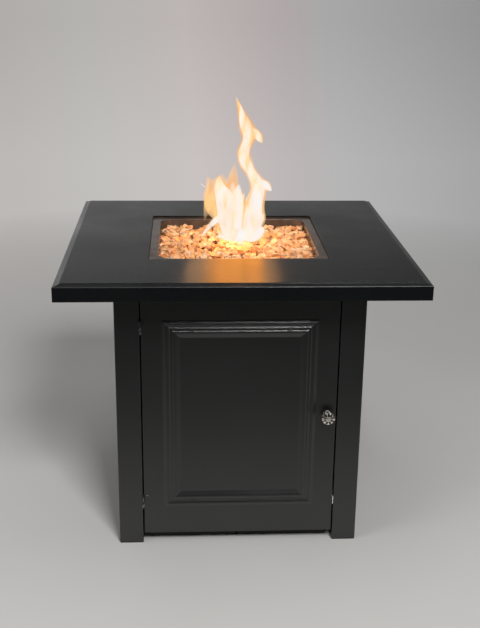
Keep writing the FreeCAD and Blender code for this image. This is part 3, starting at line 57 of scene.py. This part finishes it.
class Shader:
    """A node material built up step by step."""

    def __init__(self, name):
        self.material = bpy.data.materials.new(name)
        self.material.use_nodes = True
        self.tree = self.material.node_tree
        self.principled = self.tree.nodes["Principled BSDF"]
        self.output = self.tree.nodes["Material Output"]
        coordinates = self.tree.nodes.new("ShaderNodeTexCoord")
        self.place = coordinates.outputs["Object"]

    def node(self, kind, **settings):
        made = self.tree.nodes.new("ShaderNode" + kind)
        for name, value in settings.items():
            if hasattr(made, name):
                setattr(made, name, value)
            else:
                made.inputs[name.replace("_", " ").title()].default_value = value
        return made

    def link(self, start, end):
        self.tree.links.new(start, end)

    def math(self, operation, first, second=None):
        """One sum on numbers or sockets."""
        made = self.node("Math", operation=operation)
        for socket, value in zip(made.inputs, (first, second)):
            if isinstance(value, bpy.types.NodeSocket):
                self.link(value, socket)
            elif value is not None:
                socket.default_value = value
        return made.outputs[0]

    def split(self):
        """The place's X, Y and Z."""
        made = self.node("SeparateXYZ")
        self.link(self.place, made.inputs["Vector"])
        return made.outputs

    def length(self, vector):
        made = self.node("VectorMath", operation="LENGTH")
        self.link(vector, made.inputs[0])
        return made.outputs["Value"]

    def blend(self, kind, share, first, second):
        """Two colours mixed by a share, a number or a socket."""
        made = self.node("Mix", data_type="RGBA", blend_type=kind)
        for name, value in (("Factor", share), ("A", first), ("B", second)):
            if isinstance(value, bpy.types.NodeSocket):
                self.link(value, made.inputs[name])
            else:
                made.inputs[name].default_value = value
        return made.outputs["Result"]

    def noise(self, scale, detail=3.0, stretch=(1, 1, 1)):
        mapping = self.node("Mapping")
        mapping.inputs["Scale"].default_value = stretch
        self.link(self.place, mapping.inputs["Vector"])
        made = self.node("TexNoise")
        made.inputs["Scale"].default_value = scale
        made.inputs["Detail"].default_value = detail
        self.link(mapping.outputs["Vector"], made.inputs["Vector"])
        return made.outputs["Fac"]

    def cells(self, scale):
        made = self.node("TexVoronoi")
        made.inputs["Scale"].default_value = scale
        self.link(self.place, made.inputs["Vector"])
        return made.outputs["Distance"]

    def spread(self, value, low, high, start=0.3, end=0.7):
        made = self.node("MapRange")
        for name, number in (("From Min", start), ("From Max", end), ("To Min", low), ("To Max", high)):
            made.inputs[name].default_value = number
        self.link(value, made.inputs["Value"])
        return made.outputs["Result"]

    def colours(self, value, stops):
        ramp = self.node("ValToRGB").color_ramp
        made = self.tree.nodes[-1]
        while len(ramp.elements) < len(stops):
            ramp.elements.new(0.5)
        for element, (place, colour) in zip(ramp.elements, stops):
            element.position = place
            element.color = (*colour, 1)
        self.link(value, made.inputs["Fac"])
        return made.outputs["Color"]

    def bump(self, value, distance, strength=1.0, before=None):
        made = self.node("Bump")
        made.inputs["Strength"].default_value = strength
        made.inputs["Distance"].default_value = distance
        self.link(value, made.inputs["Height"])
        if before:
            self.link(before, made.inputs["Normal"])
        return made.outputs["Normal"]

    def soft_edges(self, radius):
        made = self.node("Bevel", samples=4)
        made.inputs["Radius"].default_value = radius
        return made.outputs["Normal"]

    def set(self, **values):
        for name, value in values.items():
            self.principled.inputs[name.replace("_", " ")].default_value = value

    def feed(self, name, value):
        self.link(value, self.principled.inputs[name])


def shade(colour, factor):
    return tuple(min(1.0, channel * factor) for channel in colour)


GRAIN_DEPTH = 0.00002


def finish(name, colour, rough, metallic=0.0, grain=900, spread=0.06, vary=0.12, edge=0.0006,
           stretch=(1, 1, 1), broad=9):
    """A surface with fine grain, broad patches in gloss and colour, and slightly rounded edges."""
    s = Shader(name)
    s.set(Metallic=metallic)
    patches = s.noise(broad, 5)
    s.feed("Base Color", s.colours(patches, [(0.3, shade(colour, 1 - vary)), (0.7, shade(colour, 1 + vary))]))
    fine = s.noise(grain, 2, stretch)
    broad_gloss = s.spread(patches, rough - spread, rough + spread)
    s.feed("Roughness", s.math("ADD", broad_gloss, s.spread(fine, -spread / 2, spread / 2)))
    normal = s.soft_edges(edge) if edge else None
    s.feed("Normal", s.bump(fine, GRAIN_DEPTH, 0.6, normal))
    return s.material


def powder_coat(name, colour, rough, level):
    """Textured powder coat: pimpled like orange peel, with faint dust and handling marks."""
    s = Shader(name)
    s.set(Specular_IOR_Level=level)
    peel = s.noise(1400, 3)
    waves = s.noise(260, 2)
    marks = s.noise(5, 6)
    dust = s.noise(60, 8)
    s.feed("Base Color", s.colours(dust, [(0.35, shade(colour, 0.92)), (0.75, shade(colour, 1.14))]))
    broad_gloss = s.spread(marks, rough - 0.05, rough + 0.05)
    s.feed("Roughness", s.math("ADD", broad_gloss, s.spread(peel, -0.03, 0.03)))
    normal = s.bump(waves, GRAIN_DEPTH, 0.4, s.soft_edges(0.0009))
    s.feed("Normal", s.bump(peel, GRAIN_DEPTH, 0.6, normal))
    return s.material


def fire_glass_material():
    """Clear crushed glass with the fire's light painted into its colour, paler in random patches, and cracked
    inside.
    """
    s = Shader("fire_glass")
    s.set(IOR=1.5, Transmission_Weight=0.62)
    tint = s.noise(38, 4)
    # Painted light: the fire's orange and peach glow is painted into the base colour.
    s.feed("Base Color", s.colours(tint, [(0.3, (0.86, 0.42, 0.16)), (0.5, (0.97, 0.64, 0.34)),
                                          (0.7, (1.0, 0.84, 0.62))]))
    s.feed("Roughness", s.spread(s.noise(160, 4), 0.04, 0.3))
    s.feed("Normal", s.bump(s.noise(260, 5), 0.0008, 0.5, s.bump(s.cells(130), 0.0012, 0.35)))
    return s.material


def glass_bed_material():
    """Small lumps packed below the top layer, with the fire's light painted into their colour and painted
    shade in the gaps between them.
    """
    s = Shader("fire_glass_bed")
    s.set(IOR=1.5, Transmission_Weight=0.3)
    lumps = s.cells(120)
    # Painted light and shade: fire-orange colour, pale on each lump and darker towards the gaps.
    s.feed("Base Color", s.colours(lumps, [(0.0, (1.0, 0.75, 0.5)), (0.6, (0.95, 0.62, 0.38)),
                                           (1.0, (0.75, 0.42, 0.22))]))
    s.feed("Roughness", s.spread(s.noise(150, 3), 0.1, 0.4))
    s.feed("Normal", s.bump(lumps, -0.006, 1.0))
    return s.material


def heated_steel():
    s = Shader("burner_steel")
    s.set(Metallic=1.0)
    tint = s.noise(24, 5)
    s.feed("Base Color", s.colours(tint, [(0.3, (0.1, 0.055, 0.03)), (0.55, (0.2, 0.12, 0.07)),
                                          (0.75, (0.22, 0.16, 0.16))]))
    s.feed("Roughness", s.spread(s.noise(90, 4), 0.3, 0.6))
    s.feed("Normal", s.bump(s.noise(700, 2), 0.00003, 0.6, s.soft_edges(0.0005)))
    return s.material


def worn_black(name):
    """Black paint rubbed through to steel in small places."""
    s = Shader(name)
    tone_mask = s.noise(170, 6)
    s.feed("Base Color", s.colours(tone_mask, [(0.55, (0.018, 0.018, 0.018)), (0.62, (0.3, 0.3, 0.31))]))
    s.feed("Metallic", s.spread(tone_mask, 0.0, 1.0, 0.55, 0.62))
    s.feed("Roughness", s.spread(s.noise(300, 3), 0.3, 0.5))
    s.feed("Normal", s.bump(tone_mask, 0.00005, 0.6, s.soft_edges(0.0004)))
    return s.material


PETALS = 9
PETAL_START = 0.0045
SLOT_FADE = 0.001


def petal_grooves(s):
    """1 in the slots between the knob's petals, 0 elsewhere."""
    low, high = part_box("door_knob")
    parts = s.split()
    aside = s.math("SUBTRACT", parts["X"], (low[0] + high[0]) / 2)
    above = s.math("SUBTRACT", parts["Z"], (low[2] + high[2]) / 2)
    wave = s.math("COSINE", s.math("MULTIPLY", s.math("ARCTAN2", aside, above), PETALS))
    flat = s.node("CombineXYZ")
    s.link(aside, flat.inputs["X"])
    s.link(above, flat.inputs["Z"])
    outside = s.spread(s.length(flat.outputs[0]), 0.0, 1.0, PETAL_START, PETAL_START + SLOT_FADE)
    return s.math("MULTIPLY", s.spread(wave, 0.0, 1.0, 0.35, 0.8), outside)


def pewter():
    """Cast metal, bright on its open faces and darker in random pits, with painted shade black in its hollows
    and in the slots between the petals.
    """
    s = Shader("pewter")
    pits = s.noise(420, 6)
    # Painted shade: the colour darkens to black in hollows, by how enclosed they are.
    occlusion = s.node("AmbientOcclusion", samples=8)
    occlusion.inputs["Distance"].default_value = 0.004
    painted_hollow_shade = s.spread(occlusion.outputs["AO"], 0.0, 0.92, 0.45, 0.95)
    pits_and_painted_shade = s.math("MULTIPLY", painted_hollow_shade, s.spread(pits, 0.5, 1.15, 0.36, 0.56))
    grooves = petal_grooves(s)
    # Painted shade: the colour goes near black in the slots between the petals.
    tone_mask = s.math("MULTIPLY", pits_and_painted_shade, s.spread(grooves, 1.0, 0.05, 0, 1))
    s.feed("Base Color", s.colours(tone_mask, [(0.2, (0.01, 0.009, 0.008)), (0.45, (0.4, 0.37, 0.31)),
                                            (0.75, (1.0, 0.97, 0.88))]))
    s.feed("Metallic", s.spread(grooves, 1.0, 0.3, 0, 1))
    s.feed("Roughness", s.math("ADD", s.spread(pits, 0.22, 0.36), s.spread(grooves, 0.0, 0.4, 0, 1)))
    s.feed("Normal", s.bump(pits, 0.00008, 0.6, s.soft_edges(0.0004)))
    return s.material


METAL = {"metallic": 1.0}
made = {
    "top_coat": powder_coat("top_coat", (0.0028, 0.0033, 0.0038), 0.29, 0.5),
    "base_coat": powder_coat("base_coat", (0.002, 0.002, 0.0021), 0.33, 1.05),
    "pan_enamel": finish("pan_enamel", (0.05, 0.04, 0.034), 0.18, grain=500, vary=0.4, broad=30),
    "fire_glass": fire_glass_material(),
    "burner_steel": heated_steel(),
    "zinc_steel": finish("zinc_steel", (0.55, 0.56, 0.57), 0.32, grain=600, broad=60, edge=0.0003, **METAL),
    "shield_steel": finish("shield_steel", (0.42, 0.43, 0.44), 0.4, grain=90, vary=0.3, broad=45, **METAL),
    "hinge_steel": worn_black("hinge_steel"),
    "brass": finish("brass", (0.62, 0.42, 0.16), 0.28, grain=700, broad=50, edge=0.0004, **METAL),
    "pewter": pewter(),
    "black_plastic": finish("black_plastic", (0.012, 0.012, 0.012), 0.5, grain=1200),
    "knob_plastic": finish("knob_plastic", (0.016, 0.016, 0.017), 0.36, grain=1500),
    "bezel_metal": finish("bezel_metal", (0.46, 0.46, 0.46), 0.34, grain=500, stretch=(1, 0.02, 4), **METAL),
    "catch_plastic": finish("catch_plastic", (0.72, 0.72, 0.69), 0.35, grain=900, vary=0.05),
    "ceramic": finish("ceramic", (0.74, 0.71, 0.63), 0.2, grain=500, vary=0.08, edge=0.0003),
    "lead_sleeve": finish("lead_sleeve", (0.5, 0.47, 0.42), 0.6, grain=1500, edge=0),
    "sensor_copper": finish("sensor_copper", (0.6, 0.28, 0.16), 0.34, grain=900, edge=0, **METAL),
    "tube_metal": finish("tube_metal", (0.55, 0.55, 0.56), 0.36, grain=900, edge=0, **METAL),
}
# The tank tray's coat is a darker, duller copy of the base coat: painted shade under the door.
own = {"fire_glass_bed": glass_bed_material(), "door_rivets": worn_black("rivet"),
       "tank_tray": powder_coat("tray_painted_shade", (0.0015, 0.0015, 0.0015), 0.45, 0.3)}
for part in frame["record"]["subparts"]:
    piece = nodes[part["node"]]
    material = own.get(part["node"]) or made[part["material_slot"]]
    if not piece.material_slots:
        piece.data.materials.append(material)
    for slot in piece.material_slots:
        slot.material = material


# Loose glass: every lump broken into facets, with smaller shards in the gaps between

SHARDS = 420
SHARD_SIZE = (0.005, 0.0095)
BARE_PLACE = Vector((-0.04, 0.012))
BARE_SIZE = 0.026


def lump_places():
    """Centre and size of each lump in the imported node."""
    source = nodes["fire_glass"]
    shape = bmesh.new()
    shape.from_mesh(source.data)
    shape.transform(source.matrix_world)
    bmesh.ops.remove_doubles(shape, verts=shape.verts, dist=1e-5)
    left = set(shape.verts)
    places = []
    while left:
        near = [left.pop()]
        island = []
        while near:
            vert = near.pop()
            island.append(vert.co.copy())
            for edge in vert.link_edges:
                other = edge.other_vert(vert)
                if other in left:
                    left.remove(other)
                    near.append(other)
        low = Vector(min(co[axis] for co in island) for axis in range(3))
        high = Vector(max(co[axis] for co in island) for axis in range(3))
        places.append(((low + high) / 2, (high - low) / 2))
    shape.free()
    return sorted(places, key=lambda place: tuple(place[0]))


def shard(shape, chance, middle, half, low, high):
    """One broken lump: the hull of points scattered on a squashed ball, kept inside the pan."""
    points = []
    for _ in range(chance.randint(8, 13)):
        direction = Vector([chance.gauss(0, 1) for axis in range(3)]).normalized()
        reach = chance.uniform(0.8, 1.12)
        spot = [middle[axis] + direction[axis] * half[axis] * reach for axis in range(3)]
        points.append(shape.verts.new([min(max(spot[axis], low[axis]), high[axis]) for axis in range(3)]))
    hull = bmesh.ops.convex_hull(shape, input=points)
    unused = set(hull["geom_interior"] + hull["geom_unused"])
    inside = [item for item in unused if isinstance(item, bmesh.types.BMVert)]
    bmesh.ops.delete(shape, geom=inside, context="VERTS")


def crushed_glass():
    """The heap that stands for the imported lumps: a broken lump for each, and shards between them."""
    chance = random.Random(12)
    low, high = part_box("fire_glass")
    shape = bmesh.new()
    for middle, half in lump_places():
        wide = Vector((half.x * 1.3, half.y * 1.3, half.z * chance.uniform(0.85, 1.1)))
        shard(shape, chance, middle, wide, low, high)
    for _ in range(SHARDS):
        size = chance.uniform(*SHARD_SIZE)
        x, y = chance.uniform(low[0], high[0]), chance.uniform(low[1], high[1])
        if (Vector((x, y)) - BARE_PLACE).length < BARE_SIZE:
            continue
        z = chance.uniform(low[2] + 0.6 * size, high[2] - size)
        shard(shape, chance, Vector((x, y, z)), Vector((size * 1.2, size, size * 0.8)), low, high)
    mesh = bpy.data.meshes.new("loose_glass")
    shape.to_mesh(mesh)
    shape.free()
    heap = bpy.data.objects.new("loose_glass", mesh)
    scene.collection.objects.link(heap)
    mesh.materials.append(made["fire_glass"])
    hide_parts("fire_glass")
    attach(heap, "table")


crushed_glass()


# Flame, which is fire and no piece of the table: centre line in X and Z, and radius, for each tongue

TONGUES = {
    "main": [(0.032, 0.607, 0.0284), (0.036, 0.643, 0.0304), (0.042, 0.676, 0.0194), (0.05, 0.705, 0.0161),
             (0.047, 0.727, 0.015), (0.032, 0.748, 0.0117), (0.019, 0.77, 0.0128), (0.015, 0.791, 0.0138),
             (0.024, 0.81, 0.0102), (0.029, 0.829, 0.0148), (0.02, 0.85, 0.0137), (0.008, 0.875, 0.008),
             (0.0, 0.896, 0.0038), (-0.004, 0.91, 0.0006)],
    "upper_tip": [(0.033, 0.838, 0.013), (0.043, 0.828, 0.011), (0.051, 0.815, 0.006),
                  (0.055, 0.809, 0.0008)],
    "lower_tip": [(0.052, 0.727, 0.013), (0.062, 0.722, 0.011), (0.073, 0.711, 0.006),
                  (0.078, 0.706, 0.0008)],
    "left": [(-0.016, 0.607, 0.0283), (-0.014, 0.639, 0.0282), (-0.019, 0.67, 0.0237),
             (-0.025, 0.694, 0.0215), (-0.036, 0.716, 0.0139), (-0.036, 0.731, 0.0086),
             (-0.034, 0.739, 0.0026)],
    "centre": [(-0.008, 0.654, 0.0195), (-0.006, 0.687, 0.0172), (-0.008, 0.712, 0.0097),
               (-0.007, 0.73, 0.001)],
    "centre_tip": [(-0.014, 0.685, 0.016), (-0.01, 0.715, 0.0145), (-0.005, 0.745, 0.009),
                   (0.0, 0.772, 0.0008)],
    "left_crown": [(-0.03, 0.68, 0.022), (-0.036, 0.71, 0.02), (-0.032, 0.733, 0.014),
                   (-0.028, 0.744, 0.002)],
    "filling": [(0.012, 0.61, 0.018), (0.014, 0.65, 0.017), (0.016, 0.672, 0.011), (0.014, 0.69, 0.002)],
    "shoulder": [(0.0, 0.63, 0.021), (0.002, 0.665, 0.02), (-0.001, 0.69, 0.017), (0.003, 0.71, 0.009),
                 (0.006, 0.722, 0.001)],
    "middle": [(0.006, 0.625, 0.0239), (0.005, 0.661, 0.013), (0.009, 0.685, 0.0086), (0.017, 0.703, 0.0011)],
    "inner_right": [(0.027, 0.639, 0.0195), (0.025, 0.67, 0.0108), (0.031, 0.692, 0.0069),
                    (0.037, 0.717, 0.0006)],
    "left_lick": [(-0.036, 0.7, 0.0129), (-0.055, 0.69, 0.0125), (-0.063, 0.67, 0.009),
                  (-0.068, 0.64, 0.0006)],
    "left_foot": [(-0.029, 0.652, 0.0173), (-0.047, 0.639, 0.0076), (-0.064, 0.621, 0.0048),
                  (-0.077, 0.6, 0.0009)],
    "base_left": [(-0.029, 0.616, 0.0152), (-0.04, 0.6, 0.0011)],
    "base_right": [(0.049, 0.63, 0.0174), (0.06, 0.645, 0.0087), (0.063, 0.659, 0.0009)],
    "belly_left": [(-0.036, 0.606, 0.004), (-0.012, 0.609, 0.022), (0.012, 0.607, 0.021),
                   (0.024, 0.604, 0.013)],
    "belly_right": [(0.01, 0.606, 0.016), (0.03, 0.609, 0.023), (0.05, 0.616, 0.018), (0.06, 0.626, 0.008)],
    "left_veil": [(-0.026, 0.64, 0.02), (-0.042, 0.668, 0.023), (-0.05, 0.696, 0.019), (-0.05, 0.716, 0.011),
                  (-0.056, 0.73, 0.006), (-0.062, 0.742, 0.0008)],
    "lick_low": [(0.016, 0.6, 0.008), (0.008, 0.585, 0.0045), (-0.004, 0.574, 0.0008)],
    "wisp": [(-0.077, 0.726, 0.0019), (-0.068, 0.72, 0.0032), (-0.06, 0.713, 0.0009)],
}
IN_LINE = ("main", "upper_tip", "lower_tip")
FAINT = ("left_lick", "left_veil", "left_crown", "centre_tip")
FLAME_FOOT = 0.572
FOOT_TAPER = 0.5
VOXEL = 0.0016
CORE_COLOURS = [(0.22, (1.0, 0.58, 0.2)), (0.31, (1.15, 0.92, 0.55)), (0.4, (1.1, 1.1, 1.0)),
                (0.52, (0.86, 1.0, 1.15))]
RIM_COLOURS = [(0.3, (1.0, 0.42, 0.1)), (0.5, (1.15, 0.7, 0.3))]
MIRRORED_COLOUR = (1.0, 0.36, 0.07, 1)
SIGHT_LINE = 0.244
DEPTH = 0.035
WAVE = 0.004
WAVE_RISE = 0.05


def burning_gas(name, stops, density, mirrored):
    """Gas that glows and hides what is behind it: its colour settles where it is deep, and mirrors orange."""
    s = Shader(name)
    s.tree.nodes.remove(s.principled)
    cooler = s.spread(s.split()["Z"], 0.02, -0.19, 0.62, 0.86)
    heat = s.math("ADD", s.noise(80, 3, (1, 1, 0.25)), cooler)
    thickness = s.spread(s.noise(30, 2, (1, 1, 0.4)), 0.45 * density, 1.4 * density, 0.38, 0.6)
    seen = s.node("LightPath").outputs["Is Camera Ray"]
    glow = s.node("Emission")
    s.link(s.blend("MIX", seen, MIRRORED_COLOUR, s.colours(heat, stops)), glow.inputs["Color"])
    s.link(s.math("MULTIPLY", thickness, s.spread(seen, mirrored, 1.0, 0, 1)), glow.inputs["Strength"])
    smoke = s.node("VolumeAbsorption")
    smoke.inputs["Color"].default_value = (0, 0, 0, 1)
    s.link(thickness, smoke.inputs["Density"])
    gas = s.node("AddShader")
    s.link(glow.outputs[0], gas.inputs[0])
    s.link(smoke.outputs[0], gas.inputs[1])
    s.link(gas.outputs[0], s.output.inputs["Volume"])
    return s.material


def evaluated_mesh(piece):
    """The piece's mesh with its modifiers, or its curve's tube; the piece itself goes."""
    bpy.context.view_layer.update()
    mesh = bpy.data.meshes.new_from_object(piece.evaluated_get(bpy.context.evaluated_depsgraph_get()))
    bpy.data.objects.remove(piece)
    return mesh


def tube(name, points, depth, thickness):
    """One tongue as a tube along its points, tapered at its foot."""
    line = bpy.data.curves.new(name, "CURVE")
    line.dimensions = "3D"
    line.bevel_depth = 1
    line.bevel_resolution = 4
    line.use_fill_caps = True
    line.resolution_u = 8
    spline = line.splines.new("NURBS")
    spline.points.add(len(points) - 1)
    points = [(points[0][0], points[0][1], points[0][2] * FOOT_TAPER)] + points[1:]
    for point, (x, z, radius) in zip(spline.points, points):
        point.co = (x, depth, z - SIGHT_LINE * depth, 1)
        point.radius = radius * thickness
    spline.order_u = 3
    spline.use_endpoint_u = True
    piece = bpy.data.objects.new(name, line)
    scene.collection.objects.link(piece)
    return evaluated_mesh(piece)


def tongues(thickness, with_faint):
    """All tongues melted into one skin and roughened by the draught."""
    chance = random.Random(3)
    joined = bmesh.new()
    for name, points in TONGUES.items():
        depth = 0 if name in IN_LINE else chance.uniform(-DEPTH, DEPTH)
        if with_faint or name not in FAINT:
            joined.from_mesh(tube(name, points, depth, thickness))
    mesh = bpy.data.meshes.new("tongues")
    joined.to_mesh(mesh)
    joined.free()
    skin = bpy.data.objects.new("tongues", mesh)
    scene.collection.objects.link(skin)
    skin.modifiers.new("union", "REMESH").voxel_size = VOXEL
    skin.modifiers.new("smooth", "SMOOTH").iterations = 6
    smoothed = evaluated_mesh(skin)
    for vert in smoothed.vertices:
        rise = max(0.0, vert.co.z - FLAME_FOOT)
        wave = noise.noise(Vector((vert.co.x * 40, vert.co.y * 40, vert.co.z * 14)))
        vert.co += Vector((wave, 0.6 * wave, 0)) * WAVE * min(1.0, rise / WAVE_RISE)
        vert.co.z = max(vert.co.z, FLAME_FOOT)
    return smoothed


def flame():
    """A white core in an orange rim; each layer has a thickness, colours, density and mirrored strength."""
    layers = {
        "flame": (0.84, CORE_COLOURS, 200, 5.5),
        "flame_rim": (1.15, RIM_COLOURS, 52, 3),
    }
    for name, (thickness, stops, density, mirrored) in layers.items():
        mesh = tongues(thickness, name == "flame_rim")
        layer = bpy.data.objects.new(name, mesh)
        scene.collection.objects.link(layer)
        mesh.materials.append(burning_gas(name, stops, density, mirrored))
        layer.visible_diffuse = False
        layer.visible_shadow = False


flame()


# Floor, light and camera

# Painted light on the wall from left to right.
PAINTED_WALL_LIGHT = [(0.0, (0.434, 0.411, 0.395)), (0.17, (0.458, 0.45, 0.43)), (0.37, (0.507, 0.464, 0.452)),
              (0.58, (0.429, 0.39, 0.39)), (0.67, (0.389, 0.389, 0.389)), (1.0, (0.295, 0.295, 0.295))]
# Painted shade on the floor in front of the table, from front to back, for all rays but the camera's.
MIRRORED_FLOOR = [(0.0, 0.04), (0.22, 0.15), (0.49, 0.2), (0.7, 0.32), (0.86, 0.72), (1.0, 1.0)]
EYE_BACK = 2.16
NEAREST_WALL = 0.8


def paper_colour(s, parts, path):
    """The floor's own colour, with painted shade in front of the table for every ray but the camera's, so in
    what the table mirrors.
    """
    paper = s.colours(s.noise(1.4, 4), [(0.3, (0.5, 0.49, 0.475)), (0.7, (0.53, 0.52, 0.505))])
    # Painted shade: the floor is darkened in front of the table for every ray but the camera's.
    painted_mirror_shade = s.colours(s.spread(parts["Y"], 0, 1, -2.2, -0.35), [(at, (v, v, v)) for at, v in MIRRORED_FLOOR])
    return s.blend("MULTIPLY", 1.0, paper, s.math("MAXIMUM", painted_mirror_shade, path["Is Camera Ray"]))


def painted_wall_light(s, parts):
    """Painted light on the wall: its brightness from left to right, paler lower down."""
    deep = s.math("ADD", s.math("MAXIMUM", parts["Y"], NEAREST_WALL), EYE_BACK)
    across = s.math("DIVIDE", parts["X"], deep)
    light_across = s.colours(s.spread(across, 0, 1, -0.18, 0.29), PAINTED_WALL_LIGHT)
    painted_light_lower = s.spread(s.math("DIVIDE", 1.0, deep), 0.0, 0.075, 0.048, 0.16)
    return s.blend("ADD", 1.0, light_across, painted_light_lower)


def floor():
    """Pale paper that runs on to the wall: seen far off it glows with painted light in the wall's tones."""
    shape = bmesh.new()
    bmesh.ops.create_circle(shape, cap_ends=True, segments=96, radius=60)
    mesh = bpy.data.meshes.new("floor")
    shape.to_mesh(mesh)
    shape.free()
    plane = bpy.data.objects.new("floor", mesh)
    scene.collection.objects.link(plane)
    s = Shader("floor")
    s.set(Roughness=0.9, Specular_IOR_Level=0.1)
    parts = s.split()
    path = s.node("LightPath").outputs
    s.feed("Base Color", paper_colour(s, parts, path))
    # Painted light: far off, the camera sees the floor glow in place of being lit.
    wall = s.node("Emission")
    s.link(painted_wall_light(s, parts), wall.inputs["Color"])
    far = s.spread(s.length(s.place), 0.0, 1.0, 1.1, 2.9)
    seen = s.math("MAXIMUM", path["Is Camera Ray"], path["Is Transmission Ray"])
    mix = s.node("MixShader")
    s.link(s.math("MULTIPLY", far, seen), mix.inputs["Fac"])
    s.link(s.principled.outputs[0], mix.inputs[1])
    s.link(wall.outputs[0], mix.inputs[2])
    s.link(mix.outputs[0], s.output.inputs["Surface"])
    mesh.materials.append(s.material)


def lamp(name, kind, place, power, mirrored):
    light = bpy.data.lights.new(name, kind)
    light.energy = power
    piece = bpy.data.objects.new(name, light)
    scene.collection.objects.link(piece)
    piece.location = place
    piece.visible_glossy = mirrored
    return piece, light


def area(name, place, target, size, power, mirrored=True):
    """A soft square lamp."""
    piece, light = lamp(name, "AREA", place, power, mirrored)
    light.shape = "RECTANGLE"
    light.size = light.size_y = size
    piece.rotation_euler = (Vector(target) - Vector(place)).to_track_quat("-Z", "Y").to_euler()


def flame_light(name, place, power, radius, mirrored=False):
    """The flame's warm light, or only its glow in mirror images."""
    piece, light = lamp(name, "POINT", place, power, mirrored)
    light.color = (1.0, 0.5, 0.18)
    light.shadow_soft_size = radius
    piece.visible_diffuse = not mirrored


floor()
KEY_PLACE, KEY_TARGET, KEY_SIZE = (0.7, -2.95, 3.05), (-0.1, 0.2, 0.2), 1.0
area("key", KEY_PLACE, KEY_TARGET, KEY_SIZE, 80)
area("key_floor", KEY_PLACE, KEY_TARGET, KEY_SIZE, 58, mirrored=False)
area("over", (0, 0.3, 3.6), (0, 0.3, 0), 3.2, 48)
area("left", (-2.6, -1.6, 2.6), (0, 0, 0.2), 1.6, 32)
flame_light("flame_low", (0.0, 0, 0.66), 1.2, 0.03)
flame_light("flame_high", (0.03, 0, 0.76), 1.1, 0.035)
flame_light("flame_glow", (-0.006, 0, 0.7), 0.6, 0.112, mirrored=True)


def studio():
    """What the table mirrors, a pale wall behind and a dimmer room in front, and a plain wall for the eye."""
    world = bpy.data.worlds.new("studio")
    world.use_nodes = True
    tree = world.node_tree
    parts = tree.nodes.new("ShaderNodeSeparateXYZ")
    tree.links.new(tree.nodes.new("ShaderNodeTexCoord").outputs["Generated"], parts.inputs["Vector"])
    room = tree.nodes["Background"]
    level = None
    for axis, start, end, low, high in (("Y", -0.5, 0.8, 0.05, 0.36), ("X", -0.3, 0.45, 1.25, 0.3),
                                        ("Z", 0.165, 0.305, 2.35, 0.02)):
        ramp = tree.nodes.new("ShaderNodeMapRange")
        ramp.interpolation_type = "SMOOTHSTEP"
        for name, number in (("From Min", start), ("From Max", end), ("To Min", low), ("To Max", high)):
            ramp.inputs[name].default_value = number
        tree.links.new(parts.outputs[axis], ramp.inputs["Value"])
        times = tree.nodes.new("ShaderNodeMath")
        times.operation = "MULTIPLY"
        times.inputs[1].default_value = 1.0
        tree.links.new(ramp.outputs["Result"], times.inputs[0])
        if level:
            tree.links.new(level, times.inputs[1])
        level = times.outputs[0]
    tree.links.new(level, room.inputs["Strength"])
    room.inputs["Color"].default_value = (1.0, 1.0, 0.99, 1)
    wall = tree.nodes.new("ShaderNodeBackground")
    wall.inputs["Color"].default_value = (0.38, 0.375, 0.37, 1)
    mix = tree.nodes.new("ShaderNodeMixShader")
    tree.links.new(tree.nodes.new("ShaderNodeLightPath").outputs["Is Camera Ray"], mix.inputs["Fac"])
    tree.links.new(room.outputs[0], mix.inputs[1])
    tree.links.new(wall.outputs[0], mix.inputs[2])
    tree.links.new(mix.outputs[0], tree.nodes["World Output"].inputs["Surface"])
    scene.world = world


studio()


# The photograph's viewpoint: place, turn to the right, tilt down and roll
CAMERA_PLACE = Vector((-0.110205, -2.162791, 1.177487))
TURN, TILT, ROLL = 0.0566, 0.3334, 0.0128
FOCAL_LENGTH = 58.726


def camera():
    forward = Vector((math.sin(TURN) * math.cos(TILT), math.cos(TURN) * math.cos(TILT), -math.sin(TILT)))
    right = Vector((math.cos(TURN), -math.sin(TURN), 0))
    up = right.cross(forward)
    x = right * math.cos(ROLL) + up * math.sin(ROLL)
    y = up * math.cos(ROLL) - right * math.sin(ROLL)
    lens = bpy.data.cameras.new("camera")
    lens.lens = FOCAL_LENGTH
    lens.sensor_width = 36
    lens.clip_end = 200
    eye = bpy.data.objects.new("camera", lens)
    scene.collection.objects.link(eye)
    turn = Matrix((x, y, -forward)).transposed()
    eye.matrix_world = Matrix.Translation(CAMERA_PLACE) @ turn.to_4x4()
    scene.camera = eye


camera()
